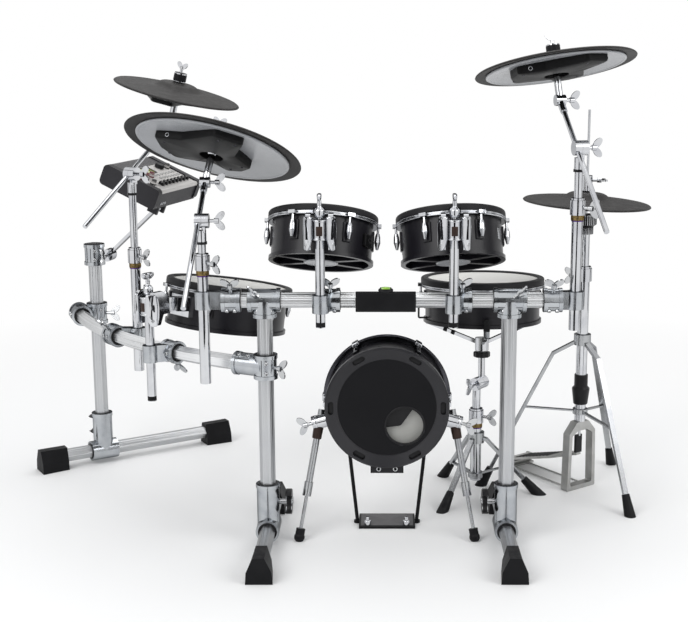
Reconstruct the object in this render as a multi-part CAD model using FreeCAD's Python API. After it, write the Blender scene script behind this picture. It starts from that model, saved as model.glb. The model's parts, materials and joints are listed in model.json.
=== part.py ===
import FreeCAD, Part
import math
import os
from collections import namedtuple

# Electronic drum kit: a tube rack that carries two toms, a floor tom, three cymbals and a sound module,
# with a kick tower, a snare stand and a hi-hat stand that stand free beside it.
# Millimetres. +Z is up, the drummer sits at +Y. Pieces are laid out from a point on the floor midway
# between the two front posts. The finished kit is moved so that the middle of its footprint is the origin.

V = FreeCAD.Vector
X = V(1, 0, 0)
Y = V(0, 1, 0)
Z = V(0, 0, 1)

# Fits
SEAT = 0.1
FIT = 0.3

# Rack tubes, six-sided
RACK_TUBE = 38.1
RACK_WALL = 2.5
RACK_EDGE = 4.0
POST_X = 286.0
BAR_HEIGHT = 595.0
BAR_LEFT_REACH = 99.0
BAR_RIGHT_REACH = 122.0
SIDE_BAR_HEIGHT = 436.0
SIDE_BAR_END_X = -871.0
SIDE_BAR_END_Y = 624.0
SIDE_BAR_BOW = 90.0
REAR_POST_FROM_END = 42.0
REAR_POST_ABOVE_BAR = 196.0
TUBE_END_GAP = 3.0

# Rack castings
CLAMP_WALL = 7.5
CLAMP_LIP = 2.0
CLAMP_LIP_LENGTH = 9.0
TEE_LENGTH = 76.0
TEE_DROP = 40.0
SLEEVE_LENGTH = 58.0
CASTING_TOP = 146.0
CASTING_HALF = 38.0
CASTING_WALL = 8.0
CASTING_SWELL = 1.0

# Feet
FOOT_HEIGHT = 36.0
FRONT_FOOT_FORE = 262.0
FRONT_FOOT_AFT = 250.0
REAR_FOOT_LEFT = 186.0
REAR_FOOT_RIGHT = 388.0
REAR_FOOT_TURN = 31.7
CAP_LENGTH = 76.0
CAP_GRIP = 48.0
CAP_NECK = 50.0
CAP_TOE = 62.0
CAP_RIDGE = 26.0
CAP_TALL = 62.0

# Wing bolts and levers
BOLT_R = 4.0
BOLT_SHANK = 16.0
BOLT_HUB_R = 6.5
WING_LONG = 14.0
WING_SHORT = 8.0
WING_LEAN = 1.1
WING_THICK = 4.0
NUT_SIZE = 0.75
LEVER_R = 30.0
LEVER_THICK = 14.0

# Stand clamps on the bars
HOLDER_RING = 44.0
HOLDER_BOSS = 42.0
HOLDER_WALL = 8.0
HOLDER_WEB = 26.0

# Level plate
PLATE_X = -3.0
PLATE_WIDTH = 140.0
PLATE_HEIGHT = 48.0
PLATE_THICK = 8.0
VIAL_R = 5.0
VIAL_LENGTH = 26.0

# Tom holders
TOM_X = 153.0
TOM_POST_FRONT = 47.0
POST_R = 11.0
TOM_POST_LOW = 540.0
TOM_PIVOT_HEIGHT = 768.0
HEAD_R = 20.0
HEAD_TALL = 46.0
CHEEK_THICK = 11.0
CHEEK_R = 21.0
CHEEK_TOP = 36.0
CHEEK_LOW = 46.0
STUB_R = 7.0
STUB_LENGTH = 5.0
BRIDGE_GAP = 7.0
BRIDGE_DEPTH = 12.0
NECK_WIDTH = 34.0
NECK_TALL = 34.0
TOP_ROD_R = 4.0
TOP_ROD_LENGTH = 42.0
POST_CAP = 12.0

# Pads
SMALL_RIM_R = 133.0
LARGE_RIM_R = 162.5
PAD_TALL = 118.0
RIM_TALL = 17.0
RIM_OVERHANG = 12.0
RIM_LIP = 6.0
HEAD_DROP = 4.5
HEAD_THICK = 1.5
SHELL_WALL = 6.0
FLANGE_OUT = 5.0
FLANGE_TALL = 9.0
HOOP_TALL = 8.0
LUG_COUNT = 6
LUG_R = 7.5
LUG_OUT = 12.0
LUG_TOP = 40.0
LUG_LOW = 80.0
ROD_R = 3.0
EAR_WIDTH = 18.0
EAR_OUT = 20.0
LUG_BASE_WIDTH = 21.0
SPOKE_WIDTH = 15.0
SPOKE_TALL = 8.0
HUB_R = 42.0
SENSOR_R = 16.0
TOM_CENTRE_Y = 150.0
TOM_CENTRE_Z = 774.0
TOM_LEAN = 20.0
TOM_ROLL = 3.0

# Floor tom
FLOOR_TOM_POST_AT = 310.0
FLOOR_TOM_RING_AHEAD = 26.0
FLOOR_TOM_POST_OUT = 47.0
FLOOR_TOM_POST_DROP = 120.0
FLOOR_TOM_RISE = 120.0
FLOOR_TOM_LIFT = 20.0
FLOOR_TOM_X = -405.0
FLOOR_TOM_Y = 330.0
FLOOR_TOM_NORMAL = V(0.12, 0.11, 0.985)

# Snare stand
SNARE_STAND = V(238, 365, 0)
SNARE_TUBE_R = 14.3
SNARE_TUBE_LOW = 28.0
SNARE_TUBE_TOP = 222.0
SNARE_POST_R = 10.7
SNARE_POST_DEPTH = 110.0
SNARE_PIVOT_HEIGHT = 294.0
SNARE_AXIS = V(0.6, 0.8, 0)
SNARE_NORMAL = V(0, 0.07, 0.997)
SNARE_RISE = 283.0
SNARE_LEG_HUB = 150.0
SNARE_BRACE_HUB = 42.0
SNARE_FEET = (V(156, 469, 0), V(144, 198, 0), V(403, 325, 0))
BASKET_POST_R = 9.0
BASKET_HUB_R = 18.0
BASKET_ARM = 9.0
BASKET_DROP = 16.0
BASKET_SLOPE = 46.0
BASKET_HUB_TALL = 34.0
BASKET_GRIP = 26.0

# Stand parts
RATCHET_R = 17.0
RATCHET_HALF = 12.0
DRUM_LENGTH = 22.0
LAP = 2.0
LAP_DISC = 16.0
COLLAR_WALL = 5.0
COLLAR_TALL = 34.0
LEG_WIDTH = 14.0
LEG_THICK = 8.0
BRACE_THICK = 4.0
TIP_LENGTH = 56.0
TIP_TOP_R = 10.0
TIP_LOW_R = 16.0

# Cymbal stands
LOWER_TUBE_R = 12.7
MAST_R = 9.5
MAST_DEPTH = 150.0
BOOM_R = 6.0
TILTER_R = 13.0
TILTER_HALF = 12.0
CYMBAL_ROD_R = 4.0
SEAT_BALL_R = 14.0
SEAT_BALL_DROP = 4.0
STOPPER_R = 16.0
STOPPER_TALL = 22.0
STOPPER_GAP = 3.0

# Cymbal pads
EDGE_HALF = 1.8
PAD_THICK = 5.5
BOW_RISE = 14.0
BELL_R = 62.0
BELL_RISE = 15.0
BELL_TOP_R = 20.0
PAD_HOLE_R = 10.0
UNDER_SHARE = 0.87
UNDER_THICK = 4.0
BOX_DEPTH = 20.0
BOX_EDGE = 6.0
BOX_HOLE_R = 29.0
BOX_LEFT_ARM = ((-0.30, 0.28), (-0.47, 0.29), (-0.59, 0.02), (-0.60, -0.30), (-0.28, -0.39))
BOX_NEAR_ARM = ((-0.05, -0.59), (0.13, -0.76), (0.44, -0.64), (0.29, -0.18))
BOX_FAR_ARM = ((0.43, 0.18), (0.31, 0.36), (0.15, 0.43), (0.0, 0.24))

Cymbal = namedtuple("Cymbal", "name x y low top pivot boom tail reach normal rise size")
RIDE = Cymbal("ride", -428, 0, 395, 700, 781, V(0, 0.862, 0.507), 300, 147,
              V(0.20, 0.40, 0.894), 85, 432)
RIGHT_CRASH = Cymbal("right_crash", 438, 0, 524, 829, 948, V(-0.17, 0.735, 0.655), 253, 155,
                     V(-0.13, 0.22, 0.966), 78, 381)
LEFT_CRASH_AT = 496.0
LEFT_CRASH_RING_AHEAD = 40.0
LEFT_CRASH_INSIDE = 45.0
LEFT_CRASH_LOW = 343
LEFT_CRASH_TOP = 662
LEFT_CRASH_PIVOT = 856
LEFT_CRASH_BOOM = V(0.404, 0.733, 0.546)
LEFT_CRASH_TAIL = 209
LEFT_CRASH_REACH = 205
LEFT_CRASH_RISE = 85
LEFT_CRASH_NORMAL = V(0.242, -0.06, 0.968)
LEFT_CRASH_SIZE = 330

# Hi-hat stand
HIHAT = V(517, 380, 0)
HIHAT_TUBE_R = 14.3
HIHAT_TUBE_TOP = 603.0
HIHAT_UPPER_R = 11.0
HIHAT_UPPER_TOP = 694.0
HIHAT_CUP_R = 27.0
HIHAT_CUP_TALL = 50.0
HIHAT_LEG_HUB = 415.0
HIHAT_BEND_OUT = 76.0
HIHAT_BEND_HEIGHT = 373.0
HIHAT_BRACE_HUB = 215.0
HIHAT_BRACE_OUT = 150.0
HIHAT_FEET = (V(619, 162, 0), V(640, 573, 0), V(256, 396, 0))
HOUSING_LOW = 236.0
HOUSING_TOP = 316.0
HOUSING_R = 23.0
FRAME_WIDTH = 104.0
FRAME_TALL = 188.0
FRAME_BAR = 12.0
FRAME_DEPTH = 24.0
PEDAL_HEADING = V(-0.6, 0.8, 0)
PEDAL_LENGTH = 240.0
PEDAL_WIDTH = 78.0
PEDAL_THICK = 6.0
TOE_HEIGHT = 92.0
HEEL_HEIGHT = 20.0
HEEL_PIN_R = 4.0
HEEL_KNUCKLE_R = 8.0
HEEL_PLATE_THICK = 6.0
PULL_ROD_R = 3.2
PULL_ROD_LOW = 148.0
PULL_ROD_TOP = 1013.0
STRAP_WIDTH = 16.0
STRAP_THICK = 7.0
HIHAT_PAD_HEIGHT = 774.0
HIHAT_SIZE = 330.0
HIHAT_NORMAL = V(0.055, 0.0, 0.998)
CLUTCH_R = 13.0
CLUTCH_TALL = 40.0

# Kick tower
KICK_HEIGHT = 325.0
KICK_FRONT = 20.0
KICK_RING_R = 150.0
KICK_RING_DEPTH = 18.0
KICK_SKIN_R = 120.0
KICK_SKIN_BACK = 12.0
KICK_STEP = 1.5
KICK_SKIN_THICK = 4.0
KICK_SHELL_R = 141.0
KICK_SHELL_DEPTH = 100.0
KICK_HOOP_R = 155.5
KICK_HOOP_DEPTH = 16.0
KICK_LUG_R = 148.7
KICK_LUG_SIZE = 7.0
KICK_LUG_TALL = 30.0
KICK_ROD_R = 3.5
PORT_R = 46.0
PORT_X = 43.0
PORT_DROP = 46.0
SLOT_LENGTH = 32.0
SLOT_WIDTH = 13.0
SLOT_DEPTH = 10.0
SPUR_ANGLE = 105.0
SPUR_BLOCK = 34.0
SPUR_OUT = 46.0
SPUR_HOLD = 0.62
SPUR_FROM_FRONT = 42.0
SPUR_FOOT_X = 214.0
SPUR_FOOT_Y = -5.0
SPUR_R = 8.0
SPUR_ROD_R = 4.2
SPUR_TIP_R = 13.0
SPUR_TIP_TALL = 31.0
SPUR_JOIN = 0.62
SPUR_ABOVE = 30.0
BASE_PLATE_WIDTH = 140.0
BASE_PLATE_NEAR = 75.0
BASE_PLATE_FAR = 165.0
BASE_PLATE_THICK = 6.0
STAY_X = 96.0
STAY_LOW_X = 74.0
STAY_R = 4.5
ANCHOR_R = 4.0
ANCHOR_TALL = 26.0
ANCHOR_X = 48.0
JACK_PANEL_WIDTH = 80.0
JACK_PANEL_TALL = 26.0
JACK_PANEL_DEPTH = 26.0
JACK_R = 3.25
JACK_DEPTH = 18.0
JACK_SPACING = 40.0

# Sound module
MODULE_AT_X = -631.0
MODULE_AT_Y = 559.0
MODULE_RISE = 395.0
MODULE_LONG = V(0.2975, 0.9559, 0.0044)
MODULE_ACROSS = V(-0.877, 0.271, 0.402)
MODULE_LENGTH = 248.0
MODULE_WIDTH = 164.0
MODULE_TALL = 52.0
END_BLOCK = 16.0
END_PROUD = 4.0
END_ROUND = 12.0
PANEL_THICK = 5.0
PANEL_MARGIN = 3.0
PANEL_BACK = 41.0
KNOB_R = 8.0
KNOB_TALL = 13.0
DIAL_R = 13.0
DIAL_TALL = 12.0
DIAL_SPINDLE_R = 3.0
FADER_COUNT = 8
FADER_PITCH = 21.0
FADER_TRAVEL = 20.0
FADER_STEM = 3.0
FADER_CAP = 10.0
BUTTON_ROWS = 2
BUTTON_COLUMNS = 7
BUTTON_PITCH = 17.0
BUTTON_SIZE = 8.0
BUTTON_PROUD = 2.5
BUTTON_DEPTH = 2.0
DISPLAY_LENGTH = 64.0
DISPLAY_WIDTH = 28.0
ARM_WIDTH = 30.0
ARM_THICK = 8.0
ARM_PIN_R = 5.0
ARM_DROP = 34.0
ARM_PIVOT_Y = -40.0
MODULE_EAR = 8.0

# Values worked out from the sizes above
FLAT = RACK_TUBE * math.cos(math.radians(30))
CLAMP_R = RACK_TUBE / 2 + CLAMP_WALL
CASTING_R = RACK_TUBE / 2 + CASTING_WALL
BAR_LEFT = -POST_X - BAR_LEFT_REACH
BAR_RIGHT = POST_X + BAR_RIGHT_REACH
POST_TOP = BAR_HEIGHT - RACK_TUBE / 2 - TUBE_END_GAP
POST_BOTTOM = FOOT_HEIGHT + FLAT / 2 + TUBE_END_GAP
FLOOR_TOM_POST_LOW = SIDE_BAR_HEIGHT - FLOOR_TOM_POST_DROP
FLOOR_TOM_PIVOT_HEIGHT = SIDE_BAR_HEIGHT + FLOOR_TOM_RISE
FLOOR_TOM_CENTRE = V(FLOOR_TOM_X, FLOOR_TOM_Y, FLOOR_TOM_PIVOT_HEIGHT + FLOOR_TOM_LIFT)
MODULE_CENTRE = V(MODULE_AT_X, MODULE_AT_Y, SIDE_BAR_HEIGHT + MODULE_RISE)


# Helpers

def unit(vector):
    """Copy of a vector with length 1."""
    return V(vector).normalize()


def frame_at(origin, z_axis, x_hint):
    """Matrix of a frame at origin with its z along z_axis and its x as near to x_hint as it can be."""
    z = unit(z_axis)
    y = unit(z.cross(x_hint))
    x = y.cross(z)
    rows = (x.x, y.x, z.x, origin.x, x.y, y.y, z.y, origin.y, x.z, y.z, z.z, origin.z, 0, 0, 0, 1)
    return FreeCAD.Matrix(*rows)


def placed(shape, matrix):
    """Copy of a shape carried from its own frame into the kit."""
    return shape.transformed(matrix, True)


def fused(first, *others):
    """One solid from pieces that overlap."""
    return first.fuse(list(others))


def rod(start, end, radius):
    """Round bar between two points."""
    span = end - start
    return Part.makeCylinder(radius, span.Length, start, span)


def pipe(start, end, outer, inner):
    """Round tube between two points."""
    run = unit(end - start)
    return rod(start, end, outer).cut(rod(start - run, end + run, inner))


def beam(start, end, width, height, up=Z):
    """Flat bar between two points: height is measured along up, width square to it."""
    span = end - start
    matrix = frame_at(start, span, up)
    box = Part.makeBox(height, width, span.Length, V(-height / 2, -width / 2, 0))
    return placed(box, matrix)


def slab(matrix, low, high):
    """Box between two corners of a local frame."""
    size = high - low
    return placed(Part.makeBox(size.x, size.y, size.z, low), matrix)


def turned(section, matrix):
    """Solid turned about the local z axis from the corners (radius, height) of its section."""
    corners = [V(radius, 0, height) for radius, height in section]
    face = Part.Face(Part.makePolygon(corners + corners[:1]))
    return placed(face.revolve(V(0, 0, 0), Z, 360), matrix)


def rounded(corners, radius):
    """Closed outline through corners in the local XY plane, each corner rounded by an arc."""
    arcs = []
    for index, here in enumerate(corners):
        back = unit(corners[index - 1] - here)
        ahead = unit(corners[(index + 1) % len(corners)] - here)
        half = back.getAngle(ahead) / 2
        reach = radius / math.tan(half)
        inward = unit(back + ahead)
        nearest = here + inward * (radius / math.sin(half) - radius)
        arcs.append((here + back * reach, nearest, here + ahead * reach))
    edges = []
    for index, (start, middle, end) in enumerate(arcs):
        edges.append(Part.Arc(start, middle, end).toShape())
        edges.append(Part.makeLine(end, arcs[(index + 1) % len(arcs)][0]))
    return Part.Wire(edges)


def hexagon(across, edge):
    """Six-sided outline with a corner on the local x axis."""
    angles = [math.radians(60 * k) for k in range(6)]
    corners = [V(across / 2 * math.cos(a), across / 2 * math.sin(a), 0) for a in angles]
    return rounded(corners, edge)


def hex_bar(start, end, corner, grow):
    """Six-sided bar of the rack tube's section between two points, grown all round."""
    span = end - start
    face = Part.Face(hexagon(RACK_TUBE + 2 * grow, RACK_EDGE))
    return placed(face.extrude(V(0, 0, span.Length)), frame_at(start, span, corner))


def hex_tube(start, end, corner):
    """Six-sided rack tube."""
    run = unit(end - start)
    return hex_bar(start, end, corner, 0).cut(hex_bar(start - run, end + run, corner, -RACK_WALL))


def wing_bolt(base, axis, span, size=1.0):
    """Bolt from base along axis, with a hub and two oval blades that spread along span."""
    out = unit(axis)
    across = unit(span - out * span.dot(out))
    flat = out.cross(across)
    hub_r = BOLT_HUB_R * size
    head = base + out * (BOLT_SHANK * size)
    pieces = [rod(head - out * (BOLT_R * size), head + out * hub_r, hub_r)]
    oval = Part.Ellipse(V(0, 0, 0), WING_LONG * size, WING_SHORT * size).toShape()
    blade = Part.Face(Part.Wire([oval])).extrude(V(0, 0, WING_THICK * size))
    for side in (-1, 1):
        lean = unit(across * (side * WING_LEAN) + out)
        start = head + lean * (WING_LONG * size) - flat * (WING_THICK * size / 2)
        pieces.append(placed(blade, frame_at(start, flat, lean)))
    return fused(rod(base, head, BOLT_R * size), *pieces)


nodes = {}


def add(name, *shapes):
    """Put the solids of some shapes in a node."""
    for shape in shapes:
        nodes.setdefault(name, []).extend(shape.Solids)


# Side bar: an arc in plan, bowed outwards

SIDE_START = V(-POST_X, 0, SIDE_BAR_HEIGHT)
SIDE_END = V(SIDE_BAR_END_X, SIDE_BAR_END_Y, SIDE_BAR_HEIGHT)
SIDE_CHORD = SIDE_END - SIDE_START
SIDE_OUT = unit(Z.cross(SIDE_CHORD))
SIDE_RADIUS = (SIDE_CHORD.Length ** 2 / 4 + SIDE_BAR_BOW ** 2) / (2 * SIDE_BAR_BOW)
SIDE_MIDDLE = (SIDE_START + SIDE_END) * 0.5
SIDE_CENTRE = SIDE_MIDDLE + SIDE_OUT * (SIDE_BAR_BOW - SIDE_RADIUS)
SIDE_LENGTH = 2 * SIDE_RADIUS * math.asin(SIDE_CHORD.Length / 2 / SIDE_RADIUS)


def side_bar_at(distance):
    """Point, heading and outward direction of the side bar at a distance along it from the front post."""
    turn = FreeCAD.Rotation(Z, -math.degrees(distance / SIDE_RADIUS))
    spoke = turn.multVec(SIDE_START - SIDE_CENTRE)
    return SIDE_CENTRE + spoke, unit(spoke.cross(Z)), unit(spoke)


def side_bar_solid(near, far, grow):
    """Six-sided bar along the side bar's arc between two distances."""
    start, heading, outward = side_bar_at(near)
    middle = side_bar_at((near + far) / 2)[0]
    end = side_bar_at(far)[0]
    path = Part.Wire([Part.Arc(start, middle, end).toShape()])
    section = placed(hexagon(RACK_TUBE + 2 * grow, RACK_EDGE), frame_at(start, heading, Z))
    return path.makePipeShell([section], True, False)


SIDE_BAR_FROM = RACK_TUBE / 2 + TUBE_END_GAP
REAR_POINT, REAR_HEADING, REAR_OUT = side_bar_at(SIDE_LENGTH - REAR_POST_FROM_END)
POST_OFFSET = RACK_TUBE + CLAMP_WALL
REAR_POST = REAR_POINT - REAR_OUT * POST_OFFSET
REAR_POST = V(REAR_POST.x, REAR_POST.y, 0)
REAR_TOP = SIDE_BAR_HEIGHT + REAR_POST_ABOVE_BAR
REAR_FOOT_ALONG = FreeCAD.Rotation(Z, REAR_FOOT_TURN).multVec(X)
REAR_FOOT_SIDE = Z.cross(REAR_FOOT_ALONG)

FRONT_BORE = hex_bar(V(BAR_LEFT, 0, BAR_HEIGHT), V(BAR_RIGHT, 0, BAR_HEIGHT), Z, SEAT)
SIDE_BORE = side_bar_solid(SIDE_BAR_FROM - SEAT, SIDE_LENGTH, SEAT)
FRONT_POSTS = (V(-POST_X, 0, 0), V(POST_X, 0, 0))


def post_bore(base, low, high, corner):
    """Space that a post needs in a casting."""
    return hex_bar(base + Z * low, base + Z * high, corner, SEAT)


def lipped(start, end):
    """Clamp sleeve between two points with a raised lip at each end."""
    run = unit(end - start) * CLAMP_LIP_LENGTH
    lip = CLAMP_R + CLAMP_LIP
    return fused(rod(start, end, CLAMP_R), rod(start, start + run, lip), rod(end - run, end, lip))


# Rack

def rack_tubes():
    """Posts, bars and foot tubes."""
    for base in FRONT_POSTS:
        add("rack_posts", hex_tube(base + Z * POST_BOTTOM, base + Z * POST_TOP, X))
        fore = base - Y * (FRONT_FOOT_FORE - CAP_LENGTH + CAP_GRIP) + Z * FOOT_HEIGHT
        aft = base + Y * (FRONT_FOOT_AFT - CAP_LENGTH + CAP_GRIP) + Z * FOOT_HEIGHT
        add("foot_tubes", hex_tube(fore, aft, X))
    add("rack_posts", hex_tube(REAR_POST + Z * POST_BOTTOM, REAR_POST + Z * REAR_TOP, REAR_FOOT_SIDE))
    left = REAR_POST - REAR_FOOT_ALONG * (REAR_FOOT_LEFT - CAP_LENGTH + CAP_GRIP) + Z * FOOT_HEIGHT
    right = REAR_POST + REAR_FOOT_ALONG * (REAR_FOOT_RIGHT - CAP_LENGTH + CAP_GRIP) + Z * FOOT_HEIGHT
    add("foot_tubes", hex_tube(left, right, REAR_FOOT_SIDE))
    add("rack_bars", hex_tube(V(BAR_LEFT, 0, BAR_HEIGHT), V(BAR_RIGHT, 0, BAR_HEIGHT), Z))
    hollow = side_bar_solid(SIDE_BAR_FROM, SIDE_LENGTH, -RACK_WALL)
    add("rack_bars", side_bar_solid(SIDE_BAR_FROM, SIDE_LENGTH, 0).cut(hollow))


def end_cap(foot_end, outward, side):
    """Rubber cap on a foot tube, lofted from its neck to its wider toe, with a socket for the tube."""
    def section(back, width):
        half = width / 2
        shoulder = CAP_TALL * 0.45
        points = ((-half, -SEAT), (half, -SEAT), (half - 2, shoulder), (CAP_RIDGE / 2, CAP_TALL),
                  (-CAP_RIDGE / 2, CAP_TALL), (2 - half, shoulder))
        ring = [foot_end - outward * back + side * across + Z * up for across, up in points]
        return Part.makePolygon(ring + ring[:1])
    body = Part.makeLoft([section(CAP_LENGTH, CAP_NECK), section(0, CAP_TOE)], True, True)
    body = body.cut(Part.makeBox(CAP_LENGTH * 4, CAP_LENGTH * 4, CAP_TALL,
                                 foot_end - V(CAP_LENGTH * 2, CAP_LENGTH * 2, CAP_TALL)))
    mouth = foot_end - outward * (CAP_LENGTH + 1) + Z * FOOT_HEIGHT
    floor = foot_end - outward * (CAP_LENGTH - CAP_GRIP - SEAT) + Z * FOOT_HEIGHT
    add("rubber_end_caps", body.cut(hex_bar(mouth, floor, side, SEAT)))


def foot_casting(base, along, side, lever_side):
    """Casting that joins a post to its foot tube, with its locking lever."""
    axle = base + Z * FOOT_HEIGHT
    run = along * CASTING_HALF
    upright = rod(axle, base + Z * CASTING_TOP, CASTING_R)
    collar = rod(base + Z * (CASTING_TOP - CLAMP_LIP_LENGTH), base + Z * CASTING_TOP, CASTING_R + CLAMP_LIP)
    body = fused(rod(axle - run, axle + run, CASTING_R + CASTING_SWELL), upright, collar)
    reach = along * (CASTING_HALF + 1)
    body = body.cut(hex_bar(axle - reach, axle + reach, side, SEAT))
    add("foot_castings", body.cut(post_bore(base, POST_BOTTOM - SEAT, CASTING_TOP + 1, side)))
    out = side * lever_side
    start = base + out * (CASTING_R + SEAT) + Z * (FOOT_HEIGHT + CASTING_TOP) * 0.55
    hub = start + out * BOLT_SHANK
    disc = rod(hub, hub + out * LEVER_THICK, LEVER_R)
    bite = hub - along * LEVER_R * 0.9 - out
    lever = disc.cut(rod(bite, bite + out * (LEVER_THICK + 2), LEVER_R * 0.75))
    add("wing_bolts", fused(rod(start, hub + out, BOLT_HUB_R), lever))


def rack_feet():
    """Castings, levers and rubber caps of the three feet."""
    for base, lever_side in zip(FRONT_POSTS, (1, -1)):
        foot_casting(base, Y, X, lever_side)
        end_cap(base - Y * FRONT_FOOT_FORE, V(0, -1, 0), X)
        end_cap(base + Y * FRONT_FOOT_AFT, Y, X)
    foot_casting(REAR_POST, REAR_FOOT_ALONG, REAR_FOOT_SIDE, 1)
    end_cap(REAR_POST - REAR_FOOT_ALONG * REAR_FOOT_LEFT, REAR_FOOT_ALONG * -1, REAR_FOOT_SIDE)
    end_cap(REAR_POST + REAR_FOOT_ALONG * REAR_FOOT_RIGHT, REAR_FOOT_ALONG, REAR_FOOT_SIDE)


def tee_joints():
    """Castings where the front bar sits on the two front posts."""
    for base, side in zip(FRONT_POSTS, (-1, 1)):
        centre = base + Z * BAR_HEIGHT
        half = X * (TEE_LENGTH / 2)
        drop = lipped(centre - Z * TEE_DROP, centre)
        body = fused(lipped(centre - half, centre + half), drop).cut(FRONT_BORE)
        body = body.cut(post_bore(base, BAR_HEIGHT - TEE_DROP - 1, POST_TOP + SEAT, X))
        add("rack_joints", body)
        out = unit(V(0, -1, 0.55))
        start = centre + X * (side * TEE_LENGTH / 4) + out * (CLAMP_R + SEAT)
        add("wing_bolts", wing_bolt(start, out, V(side, 0, 1)))


def side_bar_joints():
    """Clamps that hold the side bar to the front left post and to the rear post."""
    start, heading, outward = side_bar_at(0)
    half = Z * (SLEEVE_LENGTH / 2)
    reach = side_bar_at(SIDE_BAR_FROM + SLEEVE_LENGTH)[0]
    body = fused(lipped(start - half, start + half), lipped(start, reach)).cut(SIDE_BORE)
    low = SIDE_BAR_HEIGHT - SLEEVE_LENGTH
    high = SIDE_BAR_HEIGHT + SLEEVE_LENGTH
    body = body.cut(post_bore(FRONT_POSTS[0], low, high, X))
    add("rack_joints", body)
    out = unit(X * 0.8 - Y * 0.6)
    add("wing_bolts", wing_bolt(start + out * (CLAMP_R + SEAT), out, V(0, 0.3, 1)))
    post = V(REAR_POST.x, REAR_POST.y, SIDE_BAR_HEIGHT)
    ring = REAR_HEADING * (SLEEVE_LENGTH / 2)
    body = fused(lipped(post - half, post + half), lipped(REAR_POINT - ring, REAR_POINT + ring))
    body = body.cut(SIDE_BORE)
    add("rack_joints", body.cut(post_bore(REAR_POST, low, high, REAR_FOOT_SIDE)))
    out = unit(REAR_OUT * -1 + Y * -0.4)
    add("wing_bolts", wing_bolt(post + out * (CLAMP_R + SEAT), out, V(0, 0.3, 1)))


def holder(ring_at, ring_along, tube_at, tube_r, clearance, bar_bore, bolt_out):
    """Clamp with a ring round a rack bar and a boss round an upright tube, and its wing bolt."""
    half = ring_along * (HOLDER_RING / 2)
    up = Z * (HOLDER_BOSS / 2)
    boss = rod(tube_at - up, tube_at + up, tube_r + HOLDER_WALL)
    web = beam(ring_at, tube_at, HOLDER_WEB, HOLDER_BOSS)
    body = fused(lipped(ring_at - half, ring_at + half), boss, web).cut(bar_bore)
    add("holder_clamps", body.cut(rod(tube_at - up * 2, tube_at + up * 2, tube_r + clearance)))
    out = unit(bolt_out)
    lip = CLAMP_R + SEAT
    add("wing_bolts", wing_bolt(ring_at + out * lip, out, ring_along))


def level_plate():
    """Bare plate clipped to the front of the bar, with a bubble vial on top."""
    back = -FLAT / 2 - SEAT
    low = V(PLATE_X - PLATE_WIDTH / 2, back - PLATE_THICK, BAR_HEIGHT - PLATE_HEIGHT / 2)
    high = V(PLATE_X + PLATE_WIDTH / 2, back, BAR_HEIGHT + PLATE_HEIGHT / 2)
    plate = Part.makeBox(PLATE_WIDTH, PLATE_THICK, PLATE_HEIGHT, low)
    plate = plate.makeFillet(PLATE_THICK / 4, plate.Edges)
    add("level_plate", plate)
    middle = V(PLATE_X, back - PLATE_THICK / 2, high.z + VIAL_R + SEAT)
    half = X * (VIAL_LENGTH / 2)
    add("level_plate", rod(middle - half, middle + half, VIAL_R))


# Pads

def pad_frame(centre, normal, front):
    """Local frame of a pad: z along its axis, origin at the top of its rim, bracket side along -y."""
    return frame_at(centre, normal, front.cross(normal) * -1)


def around(count, first):
    """Angles of a ring of pieces in degrees."""
    return [first + 360.0 / count * k for k in range(count)]


def radial(shape, angle):
    """Copy of a shape turned about the local z axis."""
    copy = shape.copy()
    copy.rotate(V(0, 0, 0), Z, angle)
    return copy


def pad_shell(name, frame, rim_r):
    """Shell with a flange, lug bases and a spoked open bottom, and the sensor that stands on its hub."""
    outer = rim_r - RIM_OVERHANG
    top = -HEAD_DROP - HEAD_THICK - SEAT
    inner = outer - SHELL_WALL
    wall = turned(((inner, -PAD_TALL), (outer + FLANGE_OUT, -PAD_TALL),
                   (outer + FLANGE_OUT, FLANGE_TALL - PAD_TALL), (outer, FLANGE_TALL - PAD_TALL),
                   (outer, top), (inner, top)), FreeCAD.Matrix())
    low = 1 - PAD_TALL
    pieces = [Part.makeCylinder(HUB_R, SPOKE_TALL, V(0, 0, low))]
    spoke = Part.makeBox(inner + SHELL_WALL / 2, SPOKE_WIDTH, SPOKE_TALL, V(0, -SPOKE_WIDTH / 2, low))
    base_out = LUG_OUT - LUG_R - SEAT
    base = Part.makeBox(SHELL_WALL / 2 + base_out, LUG_BASE_WIDTH, LUG_LOW - LUG_TOP + LUG_R,
                        V(outer - SHELL_WALL / 2, -LUG_BASE_WIDTH / 2, -LUG_LOW - LUG_R / 2))
    base = base.makeFillet(base_out / 2, base.Edges)
    for angle in around(LUG_COUNT, -60):
        pieces.append(radial(spoke, angle + 30))
        pieces.append(radial(base, angle))
    add(name + "_shell", placed(fused(wall, *pieces), frame))
    foot = low + SPOKE_TALL + SEAT
    sensor = ((0, foot), (SENSOR_R * 1.6, foot), (SENSOR_R, foot + SENSOR_R), (SENSOR_R, top - SENSOR_R),
              (SENSOR_R / 2, top - FIT), (0, top - FIT))
    add(name + "_shell", turned(sensor, frame))


def pad_top(name, frame, rim_r):
    """Rubber rim and the head under its lip."""
    outer = rim_r - RIM_OVERHANG
    inside = outer - RIM_LIP
    under = -HEAD_DROP + SEAT
    skirt = outer + SEAT
    soft = RIM_OVERHANG / 3
    section = ((inside, under), (skirt, under), (skirt, -RIM_TALL), (rim_r - soft / 2, -RIM_TALL),
               (rim_r, -RIM_TALL + soft), (rim_r, -soft), (rim_r - soft, 0), (inside + soft / 2, 0),
               (inside, -soft / 2))
    add(name + "_rim", turned(section, frame))
    low = -HEAD_DROP - HEAD_THICK
    head = ((0, low), (outer, low), (outer, -HEAD_DROP), (0, -HEAD_DROP))
    add(name + "_head", turned(head, frame))


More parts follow.
